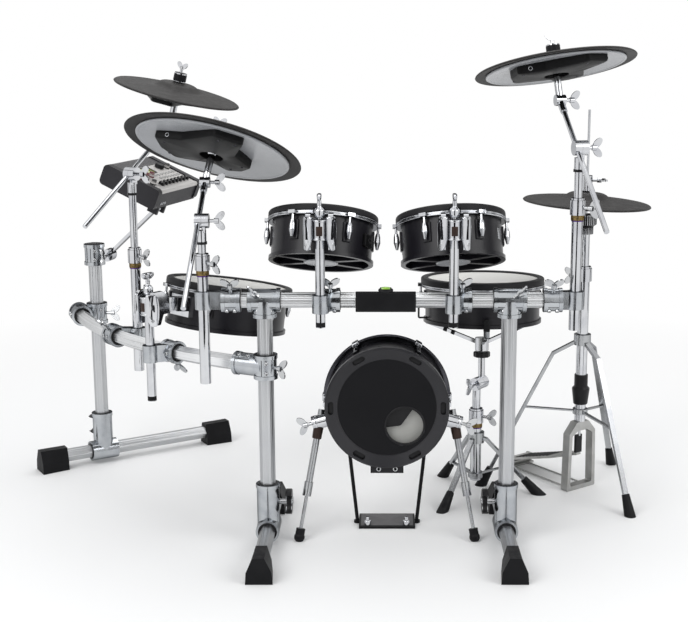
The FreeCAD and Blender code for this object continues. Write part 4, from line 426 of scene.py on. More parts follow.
def moulded(name, colour, second, rough, scale=900.0, patch=9.0, depth=0.05, dust=0.15, coat=0.0, shine=0.2):
    """Plastic, rubber or paint: grain and dust."""
    made, tree, shader = start_finish(name)
    grain = use_group(tree, GRAIN, Colour=rgba(colour), Second_Colour=rgba(second), Scale=scale,
                      Patch_Scale=patch, Low=rough[0], High=rough[1])
    settled = use_group(tree, DUST, Amount=dust)
    tree.links.new(grain.outputs["Colour"], settled.inputs["Colour"])
    set_values(shader, Coat_Weight=coat, Specular_IOR_Level=shine)
    dress(tree, shader, settled, grain, depth)
    return made


def plated(name, colour, second, rough, scale=22.0, depth=0.01, edge=0.30, across=0.0):
    """Metal with smudges, darker where the surface turns away; drawn metal is worn in lines along the piece."""
    made, tree, shader = start_finish(name)
    worn = smudge = use_group(tree, SMUDGE, Colour=rgba(colour), Smudge_Colour=rgba(second), Scale=scale,
                              Low=rough[0], High=rough[1])
    if across:
        worn = use_group(tree, LINES, Across=across, Low=rough[0], High=rough[1])
    set_values(shader, Metallic=1.0, Specular_Tint=(edge, edge, edge, 1.0))
    dress(tree, shader, smudge, worn, depth)
    return made


DRAWN = {"scale": 6.0, "depth": 0.03, "edge": 0.45, "across": 180.0}
TUBE = plated("drawn_aluminium", (0.58, 0.59, 0.60), (0.53, 0.54, 0.56), (0.26, 0.40), **DRAWN)
# The bars take a brighter copy of the same aluminium: painted light, for the light that falls on the level
# bars.
BAR_TUBE_PAINTED_LIGHT = plated("drawn_bar_painted_light", (0.86, 0.87, 0.88), (0.80, 0.81, 0.82), (0.24, 0.38), **DRAWN)
CASTING = plated("polished_casting", (0.50, 0.52, 0.54), (0.42, 0.44, 0.47), (0.12, 0.28), 30.0, 0.04)
GREY_CASTING = plated("grey_casting", (0.46, 0.46, 0.45), (0.39, 0.39, 0.38), (0.34, 0.50), 26.0, 0.06)
CHROME = plated("chrome", (0.66, 0.67, 0.69), (0.56, 0.57, 0.60), (0.03, 0.11))
STEEL = plated("plated_steel", (0.58, 0.59, 0.60), (0.50, 0.51, 0.53), (0.12, 0.26))
LEG_STEEL = plated("leg_steel", (0.45, 0.46, 0.47), (0.38, 0.39, 0.41), (0.18, 0.32))
DARK_METAL = plated("dark_plated_hoop", (0.085, 0.085, 0.095), (0.06, 0.06, 0.07), (0.10, 0.22))
GOLD = plated("band_gold", (0.26, 0.185, 0.075), (0.10, 0.075, 0.035), (0.25, 0.45), 220.0)
VIOLET = plated("band_violet", (0.13, 0.06, 0.26), (0.09, 0.05, 0.18), (0.2, 0.4), 160.0)
SHELL = moulded("satin_black_shell", (0.0065, 0.006, 0.0085), (0.009, 0.0085, 0.0115),
                (0.26, 0.38), 1400.0, 7.0, 0.02, 0.02, shine=0.30)
COVER = moulded("kick_cover_black", (0.0135, 0.0133, 0.0160), (0.0175, 0.0172, 0.0205),
                (0.30, 0.42), 2000.0, 6.0, 0.05, 0.02, shine=0.36)
SKIN = moulded("kick_skin_black", (0.0050, 0.0050, 0.0062), (0.0068, 0.0068, 0.0082),
               (0.44, 0.56), 2400.0, 5.0, 0.04, 0.01, shine=0.14)
RIM = moulded("rim_rubber", (0.0095, 0.0095, 0.011), (0.014, 0.014, 0.0155),
              (0.48, 0.64), 1200.0, 14.0, 0.05, 0.05)
FOOT = moulded("foot_rubber", (0.0045, 0.0046, 0.0056), (0.0075, 0.0076, 0.0088),
               (0.46, 0.64), 800.0, 20.0, 0.10, 0.06, shine=0.16)
CYMBAL = moulded("cymbal_rubber", (0.0135, 0.0125, 0.0125), (0.019, 0.0175, 0.017),
                 (0.44, 0.60), 1500.0, 6.0, 0.04, 0.05)
PLATE = moulded("underside_grey", (0.34, 0.35, 0.37), (0.39, 0.40, 0.42),
                (0.24, 0.36), 1600.0, 5.0, 0.03, 0.0, shine=0.45)
BOX = moulded("controller_black", (0.0035, 0.0035, 0.0038), (0.0055, 0.0055, 0.0060),
              (0.40, 0.54), 1800.0, 16.0, 0.08, 0.02, shine=0.14)
HEAD = moulded("head_white", (0.72, 0.715, 0.69), (0.67, 0.665, 0.64), (0.52, 0.68), 2600.0, 8.0, 0.06, 0.0)
NYLON = moulded("black_nylon", (0.006, 0.006, 0.007), (0.010, 0.010, 0.011),
                (0.30, 0.46), 1200.0, 30.0, 0.04, 0.03, shine=0.24)
POWDER = moulded("black_powder_coat", (0.007, 0.007, 0.008), (0.0105, 0.0105, 0.0115),
                 (0.38, 0.52), 2400.0, 18.0, 0.10, 0.04, shine=0.12)
MODULE = moulded("module_dark", (0.017, 0.0165, 0.020), (0.023, 0.0225, 0.026),
                 (0.40, 0.54), 2200.0, 12.0, 0.08, 0.04, shine=0.26)
MODULE_STRIP = moulded("module_strip", (0.080, 0.078, 0.082), (0.095, 0.093, 0.097),
                       (0.40, 0.52), 2200.0, 12.0, 0.05, 0.06, shine=0.3)
PANEL = moulded("module_panel_light", (0.62, 0.60, 0.585), (0.56, 0.545, 0.53),
                (0.36, 0.5), 2600.0, 10.0, 0.03, 0.03, shine=0.4)
KNOB_RED = moulded("knob_red", (0.15, 0.008, 0.018), (0.11, 0.007, 0.014),
                   (0.32, 0.46), 1500.0, 60.0, 0.04, 0.04)
KEY_GREY = moulded("key_grey", (0.46, 0.46, 0.45), (0.40, 0.40, 0.40),
                   (0.4, 0.55), 2200.0, 60.0, 0.03, 0.03)
BROWN = moulded("bush_brown", (0.026, 0.016, 0.013), (0.040, 0.024, 0.019),
                (0.3, 0.44), 1200.0, 40.0, 0.04, 0.03)
FOAM = moulded("kick_foam", (0.44, 0.44, 0.42), (0.39, 0.39, 0.37),
               (0.7, 0.9), 1800.0, 20.0, 0.3, 0.0, shine=0.1)
SCREEN = moulded("display_green", (0.44, 0.48, 0.12), (0.38, 0.42, 0.10),
                 (0.10, 0.16), 3000.0, 40.0, 0.0, 0.0, 1.0)
VIAL = moulded("vial_green", (0.16, 0.36, 0.02), (0.34, 0.56, 0.07),
               (0.05, 0.10), 3000.0, 60.0, 0.0, 0.0, 1.0)
print("finishes", len(bpy.data.materials))

# %% [markdown]
# CAD nodes that keep their own shape get a finish here. Their meshes stay as they are. Most nodes take the
# finish of their slot, and four of them are cast or plated differently from the rest of their slot.

# %% Finishes on the CAD nodes
FINISH_OF_SLOT = {
    "rack_aluminium": TUBE, "cast_metal": CASTING, "foot_rubber": FOOT, "chrome": CHROME, "dark_plate": POWDER,
    "shell_black": SHELL, "cover_black": COVER, "rim_rubber": RIM, "pad_head": HEAD, "plate_black": POWDER,
    "cymbal_rubber": CYMBAL, "underside_grey": PLATE, "module_dark": MODULE, "module_light": PANEL,
    "control_black": NYLON, "control_grey": KEY_GREY,
}
FINISH_OF_NODE = {
    "stand_legs": LEG_STEEL, "wing_bolts": STEEL, "hihat_frame": GREY_CASTING, "hihat_footboard": GREY_CASTING,
}
for subpart in frame["record"]["subparts"]:
    node = frame["nodes"][subpart["node"]]
    node.data.materials.clear()
    node.data.materials.append(FINISH_OF_NODE.get(subpart["node"], FINISH_OF_SLOT[subpart["material_slot"]]))
print("finished nodes", len(frame["nodes"]))

# %% [markdown]
# The rack is six-sided aluminium tube with two fine grooves drawn along each flat. The section is a radius
# for each angle: six flats blended by a high power, which rounds the corners, less two narrow dips on each
# flat. It is carried along straight paths, and along an arc for the side bar.

# %% Rack tubes
TUBE_R = 19.05
POST_X = 286.0
BAR_HEIGHT = 595.0
SIDE_HEIGHT = 436.0
FOOT_HEIGHT = 36.0
POST_LOW, POST_TOP = FOOT_HEIGHT + 19.5, 572.95
BAR_LEFT, BAR_RIGHT = -385.0, 408.0
SIDE_CUT = 22.05
FOOT_FORWARD, FOOT_BACK = 234, 222
REAR_FOOT_LEFT, REAR_FOOT_RIGHT = 158, 360
REAR_INSET, REAR_GAP, REAR_RISE, REAR_DEGREES = 42.0, 45.6, 196.0, 31.7
HEX_POWER = 26


def hexagon_section(count=240, groove=0.55, groove_at=4.6, groove_wide=0.7):
    """Six-sided section: sum of (cos / apothem) ** n over the flats, to the power -1 / n, less the grooves."""
    angle = around(count)
    apothem = TUBE_R * math.cos(math.pi / 6)
    flats = np.radians(np.arange(30, 390, 60))
    facing = np.clip(np.cos(angle[:, None] - flats), 1e-6, None)
    radius = ((facing / apothem) ** HEX_POWER).sum(axis=1) ** (-1 / HEX_POWER)
    along = apothem * np.tan(np.mod(angle, np.pi / 3) - np.pi / 6)
    dips = np.exp(-((np.abs(along) - groove_at) / groove_wide) ** 2)
    radius = radius - groove * dips
    return np.stack([radius * np.cos(angle), radius * np.sin(angle)], -1)


SIDE_START = np.array([-POST_X, 0.0, SIDE_HEIGHT])
SIDE_END = np.array([-871.0, 624.0, SIDE_HEIGHT])
SIDE_BOW = 90.0
CHORD = SIDE_END - SIDE_START
SIDE_OUT = unit(np.cross(Z, CHORD))
SIDE_RADIUS = (CHORD @ CHORD / 4 + SIDE_BOW ** 2) / (2 * SIDE_BOW)
SIDE_CENTRE = (SIDE_START + SIDE_END) / 2 + SIDE_OUT * (SIDE_BOW - SIDE_RADIUS)
SIDE_LENGTH = 2 * SIDE_RADIUS * math.asin(np.linalg.norm(CHORD) / 2 / SIDE_RADIUS)


def side_bar_at(distance):
    """Point, heading and outward direction of the bowed side bar at a distance from the front post."""
    turn = -np.asarray(distance, float) / SIDE_RADIUS
    spoke = SIDE_START - SIDE_CENTRE
    x = spoke[0] * np.cos(turn) - spoke[1] * np.sin(turn)
    y = spoke[0] * np.sin(turn) + spoke[1] * np.cos(turn)
    spoke = np.stack([x, y, np.zeros_like(x)], -1)
    out = spoke / np.linalg.norm(spoke, axis=-1, keepdims=True)
    return SIDE_CENTRE + spoke, np.cross(out, Z), out


REAR_POINT, REAR_HEADING, REAR_OUT = side_bar_at(SIDE_LENGTH - REAR_INSET)
REAR_POST = (REAR_POINT - REAR_OUT * REAR_GAP) * [1, 1, 0]
REAR_TURN = math.radians(REAR_DEGREES)
REAR_ALONG = np.array([math.cos(REAR_TURN), math.sin(REAR_TURN), 0.0])
REAR_SIDE = np.cross(Z, REAR_ALONG)
REAR_TOP = SIDE_HEIGHT + REAR_RISE
HEX = hexagon_section()


def straight(start, end):
    """Path with two points at each end, so that the ends stay square."""
    start, end = np.asarray(start, float), np.asarray(end, float)
    share = np.array([0.0, 0.01, 0.5, 0.99, 1.0])[:, None]
    return start + (end - start) * share


fronts = [np.array([side * POST_X, 0.0, 0.0]) for side in (-1, 1)]
posts = [swept(HEX, straight(p + Z * POST_LOW, p + Z * POST_TOP), X) for p in fronts]
posts.append(swept(HEX, straight(REAR_POST + Z * POST_LOW, REAR_POST + Z * REAR_TOP), REAR_SIDE))
piece("post_skins", posts, "rack", TUBE, ["rack_posts"])
side_path = side_bar_at(np.linspace(SIDE_CUT, SIDE_LENGTH, 60))[0]
bar_ends = X * BAR_LEFT + Z * BAR_HEIGHT, X * BAR_RIGHT + Z * BAR_HEIGHT
# The two bars wear the brighter copy of the aluminium, which is painted light.
bars = [swept(HEX, straight(*bar_ends), Z), swept(HEX, side_path, Z)]
piece("bar_skins", bars, "rack", BAR_TUBE_PAINTED_LIGHT, ["rack_bars"])
foot_tubes = [(p, Y, X, FOOT_FORWARD, FOOT_BACK) for p in fronts]
foot_tubes.append((REAR_POST, REAR_ALONG, REAR_SIDE, REAR_FOOT_LEFT, REAR_FOOT_RIGHT))
feet = []
for post, along, side, ahead, behind in foot_tubes:
    middle = post + Z * FOOT_HEIGHT
    feet.append(swept(HEX, straight(middle - along * ahead, middle + along * behind), side))
piece("foot_skins", feet, "rack", TUBE, ["foot_tubes"])

# %% [markdown]
# Pads. Each drum pad has a thick rubber rim with a rounded edge and a white head stretched under the rim's
# lip. Both are turned about the pad's own axis, so each pad first needs its frame: its middle at the top of
# the rim, its axis, and the side where its holder is.

# %% Rims and heads
def pad_place(centre, normal, front):
    """Frame of a pad: z along its axis, holder side along -y."""
    return place_at(centre, normal, -np.cross(front, unit(normal)))


TOM_LEAN, TOM_ROLL = math.radians(20.0), math.radians(3.0)
TOM_X, TOM_BACK, TOM_HEIGHT, TOM_R = 153.0, 150.0, 774.0, 133.0
TOM_SIDES = (("tom_left", -1), ("tom_right", 1))
FLOOR_ALONG, FLOOR_GAP, BIG_R = 310.0, 47.0, 162.5
FLOOR_POINT, _, FLOOR_OUT = side_bar_at(FLOOR_ALONG)
FLOOR_BASE = (FLOOR_POINT + FLOOR_OUT * FLOOR_GAP) * [1, 1, 0]
FLOOR_CENTRE = np.array([-405.0, 330.0, 576.0])
FLOOR_WAY = unit((FLOOR_CENTRE - FLOOR_BASE) * [1, 1, 0])
SNARE_AXIS = np.array([0.6, 0.8, 0.0])
SNARE_NORMAL = unit([0, 0.07, 0.997])
SNARE_PIVOT = np.array([238.0, 365.0, 294.0])
SNARE_ASIDE, SNARE_RISE = 23.3, 283
SNARE_FOOT = SNARE_PIVOT + SNARE_AXIS * SNARE_ASIDE
RIM_OUT = 12.0
PADS = {
    "floor_tom": (pad_place(FLOOR_CENTRE, [0.12, 0.11, 0.985], -FLOOR_WAY), BIG_R),
    "snare": (pad_place(SNARE_FOOT + SNARE_NORMAL * SNARE_RISE, SNARE_NORMAL, -Y), BIG_R),
}
for name, side in TOM_SIDES:
    normal = [-side * math.sin(TOM_ROLL), math.sin(TOM_LEAN), math.cos(TOM_LEAN)]
    PADS[name] = (pad_place([side * TOM_X, TOM_BACK, TOM_HEIGHT], normal, -Y), TOM_R)
for name, (place, rim_r) in PADS.items():
    outer = rim_r - RIM_OUT
    section = [(outer - 6, -4.4), (outer + 0.1, -4.4), (outer + 0.1, -17), (rim_r - 1.0, -17), (rim_r, -14.5),
               (rim_r - 0.2, -3.0), (rim_r - 4.0, 0), (outer - 3.0, 0), (outer - 6, -1.6)]
    piece(name + "_rim_soft", [lathe(section, 3.2, place, 128, steps=5)], name, RIM,
          [name + "_rim"])
    radius = np.linspace(0, outer - 0.5, 60)
    top = np.stack([radius, -4.55 - 0.5 * (radius / outer) ** 8 + 0.03 * np.cos(radius * 1.4)], -1)
    low = np.array([(outer - 0.5, -6.0), (0.0, -6.0)])
    piece(name + "_head_skin", [turned(np.concatenate([top, low]), place, 128, False)], name, HEAD,
          [name + "_head"])

# %% [markdown]
# Cymbals. A rubber cymbal has a smooth bell and fine rings on its bow. The profile is the pad's own section
# with a shallow wave of rings on top. Under the boom cymbals sit a light grey plate with a raised bead
# round it and a black controller box with three arms, which is a block whose outline is a radius for each
# angle, with a hole for the stand.

# %% Cymbals
BELL_R, BELL_TOP_R, BOW, BELL, THICK, EDGE = 62.0, 20.0, 14.0, 15.0, 5.5, 1.8
EDGE_IN, LEFT_ALONG, LEFT_GAP = 3.6, 496.0, 45.0


def cymbal_profile(radius, hole, ring_pitch=3.0, ring_depth=0.28):
    """Section from the hole along the underside to the edge, and back over the rings and the bell."""
    low, bell = BOW - THICK, BOW + BELL
    under = [(hole, bell - THICK), (BELL_TOP_R, bell - THICK), (BELL_R * 0.7, low + BELL * 0.72),
             (BELL_R * 0.93, low + BELL * 0.2), (BELL_R + 4, low), (radius - EDGE_IN, -EDGE),
             (radius - 1, -EDGE * 0.8)]
    edge = [(radius, 0.0), (radius - 1.0, EDGE * 0.9), (radius - EDGE_IN, EDGE * 1.9)]
    reach = np.linspace(radius - 4.5, BELL_R + 6, int((radius - BELL_R) / ring_pitch) * 6)
    fall = (reach - BELL_R) / (radius - EDGE_IN - BELL_R)
    wave = 0.5 - 0.5 * np.cos(2 * np.pi * reach / ring_pitch)
    bow = np.stack([reach, BOW + (EDGE * 2 - BOW) * fall - 0.05 - ring_depth * wave ** 3], -1)
    over = [(BELL_R + 3, BOW - 0.15), (BELL_R * 0.93, BOW + BELL * 0.22), (BELL_R * 0.72, bell - BELL * 0.22),
            (BELL_TOP_R + 6, bell - 0.6), (BELL_TOP_R, bell - 0.1), (hole + 1.5, bell - 0.1), (hole, bell - 1)]
    return np.concatenate([rounded(under, 4.0, closed=False), edge, bow, rounded(over, 5.0, closed=False)])


LEFT_POINT, _, LEFT_OUT = side_bar_at(LEFT_ALONG)
LEFT_BASE = LEFT_POINT - LEFT_OUT * LEFT_GAP
CYMBALS = {
    "ride": ((-428.0, 0.0, 781.0), (0, 0.862, 0.507), 147.0, (0.20, 0.40, 0.894), 85.0, 216.0),
    "right_crash": ((438.0, 0.0, 948.0), (-0.17, 0.735, 0.655), 155.0, (-0.13, 0.22, 0.966), 78.0, 190.5),
    "left_crash": ((LEFT_BASE[0], LEFT_BASE[1], 856.0), (0.404, 0.733, 0.546), 205.0,
                   (0.242, -0.06, 0.968), 85.0, 165.0),
}
BOX_SHARES = [(-0.30, 0.28), (-0.47, 0.29), (-0.59, 0.02), (-0.60, -0.30), (-0.28, -0.39),
              (-0.05, -0.59), (0.13, -0.76), (0.44, -0.64), (0.29, -0.18), (0.43, 0.18),
              (0.31, 0.36), (0.15, 0.43), (0.0, 0.24)]
BOX_LOOP = np.array([(0.0, -19.0), (0.03, -20.0), (0.92, -20.0), (0.975, -18.6), (1.0, -15.0), (1.0, 3.0),
                     (0.0, 3.0)])
BOX_HOLE, TILTER_ASIDE, PLATE_SHARE, PLATE_TOP = 29.0, 6.3, 0.87, 8.4
CYMBAL_PLACES = {}
for name, (pivot, boom, reach, normal, rise, radius) in CYMBALS.items():
    boom = unit(boom)
    axis = unit(np.cross(boom, Z))
    tilter = np.array(pivot) - axis * TILTER_ASIDE + boom * reach
    place = place_at(tilter + unit(normal) * rise, normal, axis)
    CYMBAL_PLACES[name] = place
    piece(name + "_rubber", [turned(cymbal_profile(radius, 10.0), place, 144)], name, CYMBAL,
          [name + "_pad"])
    under_r = radius * PLATE_SHARE
    slope = (PLATE_TOP + EDGE) / (radius - EDGE_IN - BELL_R)
    rim_z = PLATE_TOP - slope * (under_r - BELL_R)
    plate = [(15, 4.4), (15, 8.3), (BELL_R, 8.3), (under_r - 1, rim_z - 0.2), (under_r, rim_z - 2),
             (under_r - 1, rim_z - 5.2), (under_r - 7, rim_z - 5.0), (under_r - 9, rim_z - 3.9), (BELL_R, 4.4)]
    piece(name + "_plate", [lathe(plate, 1.5, place, 128)], name, PLATE,
          [name + "_underside"])
    outline = polar_outline(np.array(BOX_SHARES) * radius)
    piece(name + "_box", [ring_block(outline, BOX_HOLE, BOX_LOOP, place)], name, BOX)
print("cymbals", list(CYMBALS))

# %% [markdown]
# The hi-hat pad is a smaller cymbal of the same kind on the pull rod, so it is turned from the same profile
# with a smaller hole.

# %% Hi-hat pad
HIHAT = np.array([517.0, 380.0, 0.0])
hat_place = place_at(HIHAT + Z * 774, [0.055, 0, 0.998], X)
piece("hihat_rubber", [turned(cymbal_profile(165.0, 4.8), hat_place, 144)], "hihat", CYMBAL,
      ["hihat_pad"])

# %% [markdown]
# A stack repeats an outline at several levels, each drawn in by a little, so that one maker gives bricks,
# keys, caps and lids. A pad on a shell is a stack whose flat width is wrapped round a cylinder. A frame
# fills the room between two outlines.

# %% Blocks and pads on a shell
def stack(outline, levels):
    """Outline of (x, y) at each level (inset, height), drawn in by the inset; ends close at the middle."""
    outline, levels = np.asarray(outline, float), np.asarray(levels, float)
    scale = 1 - levels[:, :1] / np.abs(outline).max(axis=0)
    flat = outline[None] * scale[:, None]
    height = np.broadcast_to(levels[:, 1][:, None, None], flat.shape[:2] + (1,))
    local = np.concatenate([flat, height], -1)
    ends = np.zeros((2,) + local.shape[1:])
    ends[:, :, 2] = levels[[0, -1], 1][:, None]
    return np.concatenate([ends[:1], local, ends[1:]])


def stacked(outline, levels, place):
    """A stack carried into the layout."""
    return carried(stack(outline, levels), place), False, True


def soft_levels(low, high, soft):
    """Levels of a block whose ends are drawn in by a quarter circle."""
    turn = np.linspace(0, np.pi / 2, 4)
    inset, rise = soft * (1 - np.sin(turn)), soft * (1 - np.cos(turn))
    return np.concatenate([np.stack([inset, low + rise], -1), np.stack([inset, high - rise], -1)[::-1]])


def oblong(half_x, half_y, soft):
    """Rectangle about the origin with rounded corners."""
    return rounded([(half_x, -half_y), (half_x, half_y), (-half_x, half_y), (-half_x, -half_y)], soft, 6)


def brick(place, half_x, half_y, low, high, soft):
    """Block with rounded edges."""
    return stacked(oblong(half_x, half_y, soft * 1.4), soft_levels(low, high, soft), place)


def on_shell(outline, levels, radius, middle, place):
    """Stack wrapped round local z: x becomes an angle from middle, y the height, the level the radius."""
    flat = stack(outline, levels)
    angle = middle + flat[..., 0] / radius
    reach = radius + flat[..., 2]
    return carried(polar(reach, angle, flat[..., 1]), place), False, True


def between(inner, outer, levels, place, wrap=True):
    """Frame between two outlines: a closed loop of (share from inner to outer, height) carried along them."""
    levels = np.asarray(levels, float)
    flat = inner[None] + (outer - inner)[None] * levels[:, :1, None]
    height = np.broadcast_to(levels[:, 1][:, None, None], flat.shape[:2] + (1,))
    return carried(np.concatenate([flat, height], -1), place), True, wrap


def within(place, origin, z_axis=(0, 0, 1), x_hint=(1, 0, 0)):
    """Frame inside another frame, given in that frame's own axes."""
    rows = place[1]
    return place_at(carried(origin, place), np.asarray(z_axis, float) @ rows, np.asarray(x_hint, float) @ rows)


def upright(point, height=0.0):
    """Frame with z up over a point."""
    return place_at(np.asarray(point, float) * [1, 1, 0] + Z * height, Z, X)


def flutes(count, depth):
    """Ripple with a number of rounded flutes."""
    return lambda angle: depth * (np.abs(np.cos(angle * count / 2)) - 1)


def ray_at(degrees):
    """Direction at an angle in a local xy plane."""
    return np.array([math.cos(math.radians(degrees)), math.sin(math.radians(degrees)), 0.0])


print("fittings ready")

# %% [markdown]
# The boxes under the cymbals are held by screws, and a jack for the lead sits in the side of the left arm.
# The rubber stopper over each bell is fluted, so that a hand can hold it.

# %% Cymbal fittings
SCREW_SHARES = [(-0.50, 0.16), (-0.50, -0.20), (0.16, -0.62), (0.34, -0.56), (0.33, 0.17), (0.18, 0.33)]
SCREW = [(0, -20.2), (1.6, -20.2), (1.9, -20.8), (3.2, -20.7), (3.8, -20.0), (3.8, -19)]
BOX_JACK, BOX_JACK_Z, BOX_JACK_WAY = (-0.455, -0.343), -10.0, (-0.27, -0.96, 0)
GRIP = [(4.0, 32.0), (15.6, 32.0), (16.9, 34.0), (16.7, 50.5), (14.5, 54.4), (4.0, 54.4)]
for name, place in CYMBAL_PLACES.items():
    radius = CYMBALS[name][-1]
    screws = [turned(SCREW, within(place, (x * radius, y * radius, 0)), 20, False) for x, y in SCREW_SHARES]
    piece(name + "_box_screws", screws, name, DARK_METAL)
    side = within(place, (BOX_JACK[0] * radius, BOX_JACK[1] * radius, BOX_JACK_Z), BOX_JACK_WAY, Z)
    piece(name + "_jack", [ring(3.4, 5.2, -2.0, 0.9, side, 40, 0.5)], name, STEEL)
    stopper = lathe(GRIP, 1.2, place, 96, True, flutes(16, 0.03))
    piece(name + "_stopper", [stopper], name + "_boom", FOOT)

# %% [markdown]
# Stands. Under each height collar sits a small band of yellow plated steel with a violet edge, and a black
# nylon ring closes the neck of each boom mast. The open ends of the rack's tubes have black plugs.

# %% Stand rings and plugs
STANDS = [(CYMBALS["ride"][0], 12.7, 700.0), (CYMBALS["right_crash"][0], 12.7, 829.0), (LEFT_BASE, 12.7, 662.0),
          (SNARE_PIVOT, 14.3, 222.0)]
gold, violet = [], []
for base, tube_r, top in STANDS:
    gold.append(ring(tube_r - 1, tube_r + 2.4, -46, -34.3, upright(base, top)))
    violet.append(ring(tube_r - 1, tube_r + 1.4, -49, -46.2, upright(base, top), soft=0.5))
piece("collar_bands", gold, "rack", GOLD)
piece("collar_band_edges", violet, "rack", VIOLET)
for name, (pivot, *_) in CYMBALS.items():
    neck = ring(9.0, 12.6, -54.5, -48.2, upright(pivot, pivot[2]))
    piece(name + "_neck_ring", [neck], name + "_mast", NYLON)
PLUG = [(2.2, 2.4), (0.6, 2.0), (0, 1.2), (0, -1)]
side_end, side_heading, _ = side_bar_at(SIDE_LENGTH)
ends = [(REAR_POST + Z * REAR_TOP, Z, REAR_SIDE), (side_end, side_heading, Z), (bar_ends[0], -X, Z),
        (bar_ends[1], X, Z)]
plugs = [stacked(HEX * 0.97, PLUG, place_at(*end)) for end in ends]
piece("tube_plugs", plugs, "rack", NYLON)

# %% [markdown]
# Each tom holder has a chrome head with a brown insert in front, a chrome bell half on each side and a wing
# nut on top, and its post ends in a black tip. The bells are pads wrapped round an upright cylinder, as the
# pressed plates are. Every pad has a black jack box on the side of its shell and a pale hub under it.

# %% Tom holders and jack boxes
TOM_POST_Y, TOM_LOW, TOM_PIVOT, FLOOR_LOW, FLOOR_PIVOT = -47.0, 540.0, 768.0, 316.0, 556.0
POSTS = {name: (X * (side * TOM_X) + Y * TOM_POST_Y, TOM_LOW, TOM_PIVOT, Y) for name, side in TOM_SIDES}
POSTS["floor_tom"] = (FLOOR_BASE, FLOOR_LOW, FLOOR_PIVOT, FLOOR_WAY)
JACK_DROP, JACK_IN, BADGE_DROP = -70.0, 3.1, -62
SCREW_DROP, SCREW_OUT = 33, 2.9
JACK_TURN = {"tom_left": -28.0, "tom_right": 152.0, "floor_tom": 152.0, "snare": 152.0}
BADGE_TURN = -24.0
WING = [(-15, 31), (9, 31), (15, 20), (17, 0), (16, -26), (11, -46), (-3, -48), (-9, -38), (-15, -18)]
WING_R, WING_TURN, BELL_BACK = 36.0, 52.0, 10.0
NUT = [(0, 68), (4.4, 68), (5.4, 60), (4.8, 52), (9.2, 48), (12.0, 44), (12.0, 32), (9.0, 27.5), (3.0, 27.5)]
BLADES = [(0, 81), (4.4, 81), (5.8, 78), (5.2, 71), (3.0, 65), (0, 65)]
SCREW_HEAD = [(0, 1.6), (1.4, 1.6), (1.8, 2.6), (3.6, 2.4), (4.2, 1.2), (4.2, -1)]
POST_TIP = [(0, -0.6), (9.2, -0.6), (11.08, 1.2), (11.08, 13), (10.4, 13.6)]
HUB = [(0, -118.2), (34, -118.2), (36, -119.4), (40, -119.4), (41.5, -117.6), (41.5, -112)]
HOOP_STEPS = [(-11.5, -25.6), (-1.0, -25.6), (0.8, -23.4), (-1.6, -21.6), (-1.6, -20.8), (0.6, -19.4),
              (0.6, -17.6), (-1.5, -17.05), (-11.5, -17.05)]
for name, (base, low, pivot, way) in POSTS.items():
    tip = lathe(POST_TIP, 1.0, upright(base, low), 64, False)
    piece(name + "_post_tip", [tip], name + "_post", FOOT)
    face = place_at(base + Z * pivot, Z, -way)
    insert = [on_shell(oblong(7.5, 11, 2), soft_levels(-0.6, 0.7, 0.4), 20.0, 0.0, within(face, (0, 0, -2)))]
    piece(name + "_holder_nylon", insert, name + "_post", BROWN)
    rings = [ring(19.0, 21.2, z - 2.2, z + 2.2, face, 72, 1.0) for z in (-20.6, 20.6)]
    piece(name + "_holder_rings", rings, name + "_post", CHROME)
    wings, screws = [], []
    bell = place_at(base + Z * pivot + way * BELL_BACK, Z, -way)
    for side in (-1, 1):
        wing = rounded(WING, 5.0, 6) * [side, 1]
        wings.append(on_shell(wing, soft_levels(-4, 4, 2.0), WING_R, math.radians(side * WING_TURN), bell))
        out = ray_at(side * WING_TURN)
        head_place = within(bell, out * (WING_R + SCREW_OUT) - Z * SCREW_DROP, out, Z)
        screws.append(lathe(SCREW_HEAD, 0.4, head_place, 24, False, steps=3))
    piece(name + "_holder_wings", wings, name, CHROME)
    piece(name + "_holder_screws", screws, name, STEEL)
    nut = [lathe(NUT, 1.5, face, 48, False),
           lathe(BLADES, 1.2, face, 96, False, lambda angle: 2.4 * np.cos(angle) ** 8)]
    piece(name + "_holder_nut", nut, name + "_post", CHROME)
for name, (place, rim_r) in PADS.items():
    lifted = within(place, (0, 0, JACK_DROP))
    out = ray_at(JACK_TURN[name])
    turn = math.radians(JACK_TURN[name])
    case = on_shell(oblong(17, 16, 5), soft_levels(-1, 9, 2.2), rim_r - RIM_OUT, turn, lifted)
    piece(name + "_jack_box", [case], name, BOX)
    spot = within(lifted, out * (rim_r - JACK_IN), out, Z)
    piece(name + "_jack", [ring(3.3, 6.8, -1.5, 1.2, spot, 40)], name, NYLON)
    steps = lathe(np.array(HOOP_STEPS) + [rim_r, 0], 1.0, place, 128)
    piece(name + "_hoop_steps", [steps], name, CHROME)
    piece(name + "_hub_cover", [lathe(HUB, 1.2, place, 72, False)], name, PLATE)
place, rim_r = PADS["tom_right"]
badge = on_shell(oblong(8.5, 14, 3), soft_levels(-0.5, 0.9, 0.4), rim_r - RIM_OUT, math.radians(BADGE_TURN),
                 within(place, (0, 0, BADGE_DROP)))
piece("tom_right_bare_badge", [badge], "tom_right", STEEL)

# %% [markdown]
# Kick drum. The front is a moulded cover with a stretched skin, six slots and a port. The port has a thin
# liner with four clips. Behind it lies pale foam, and in front of the foam a black block is painted shade: it
# darkens the part of the view through the port that the cover keeps in shade.

# %% Kick fittings
KICK_HEIGHT, KICK_FRONT, KICK_BACK = 325.0, 20.0, 138.0
KICK_SHELL, KICK_HOOP = 141.0, 155.5
PORT_X, PORT_Z, SKIN_BACK = 43.0, -46.0, 32.0
SLOT_AT, SLOT_TURNS = 135, range(0, 360, 60)
KICK = Z * KICK_HEIGHT


def kick_face(x, y, z):
    """Frame that faces the audience, at a height from the middle of the kick."""
    return place_at(KICK + X * x + Y * y + Z * z, -Y, X)


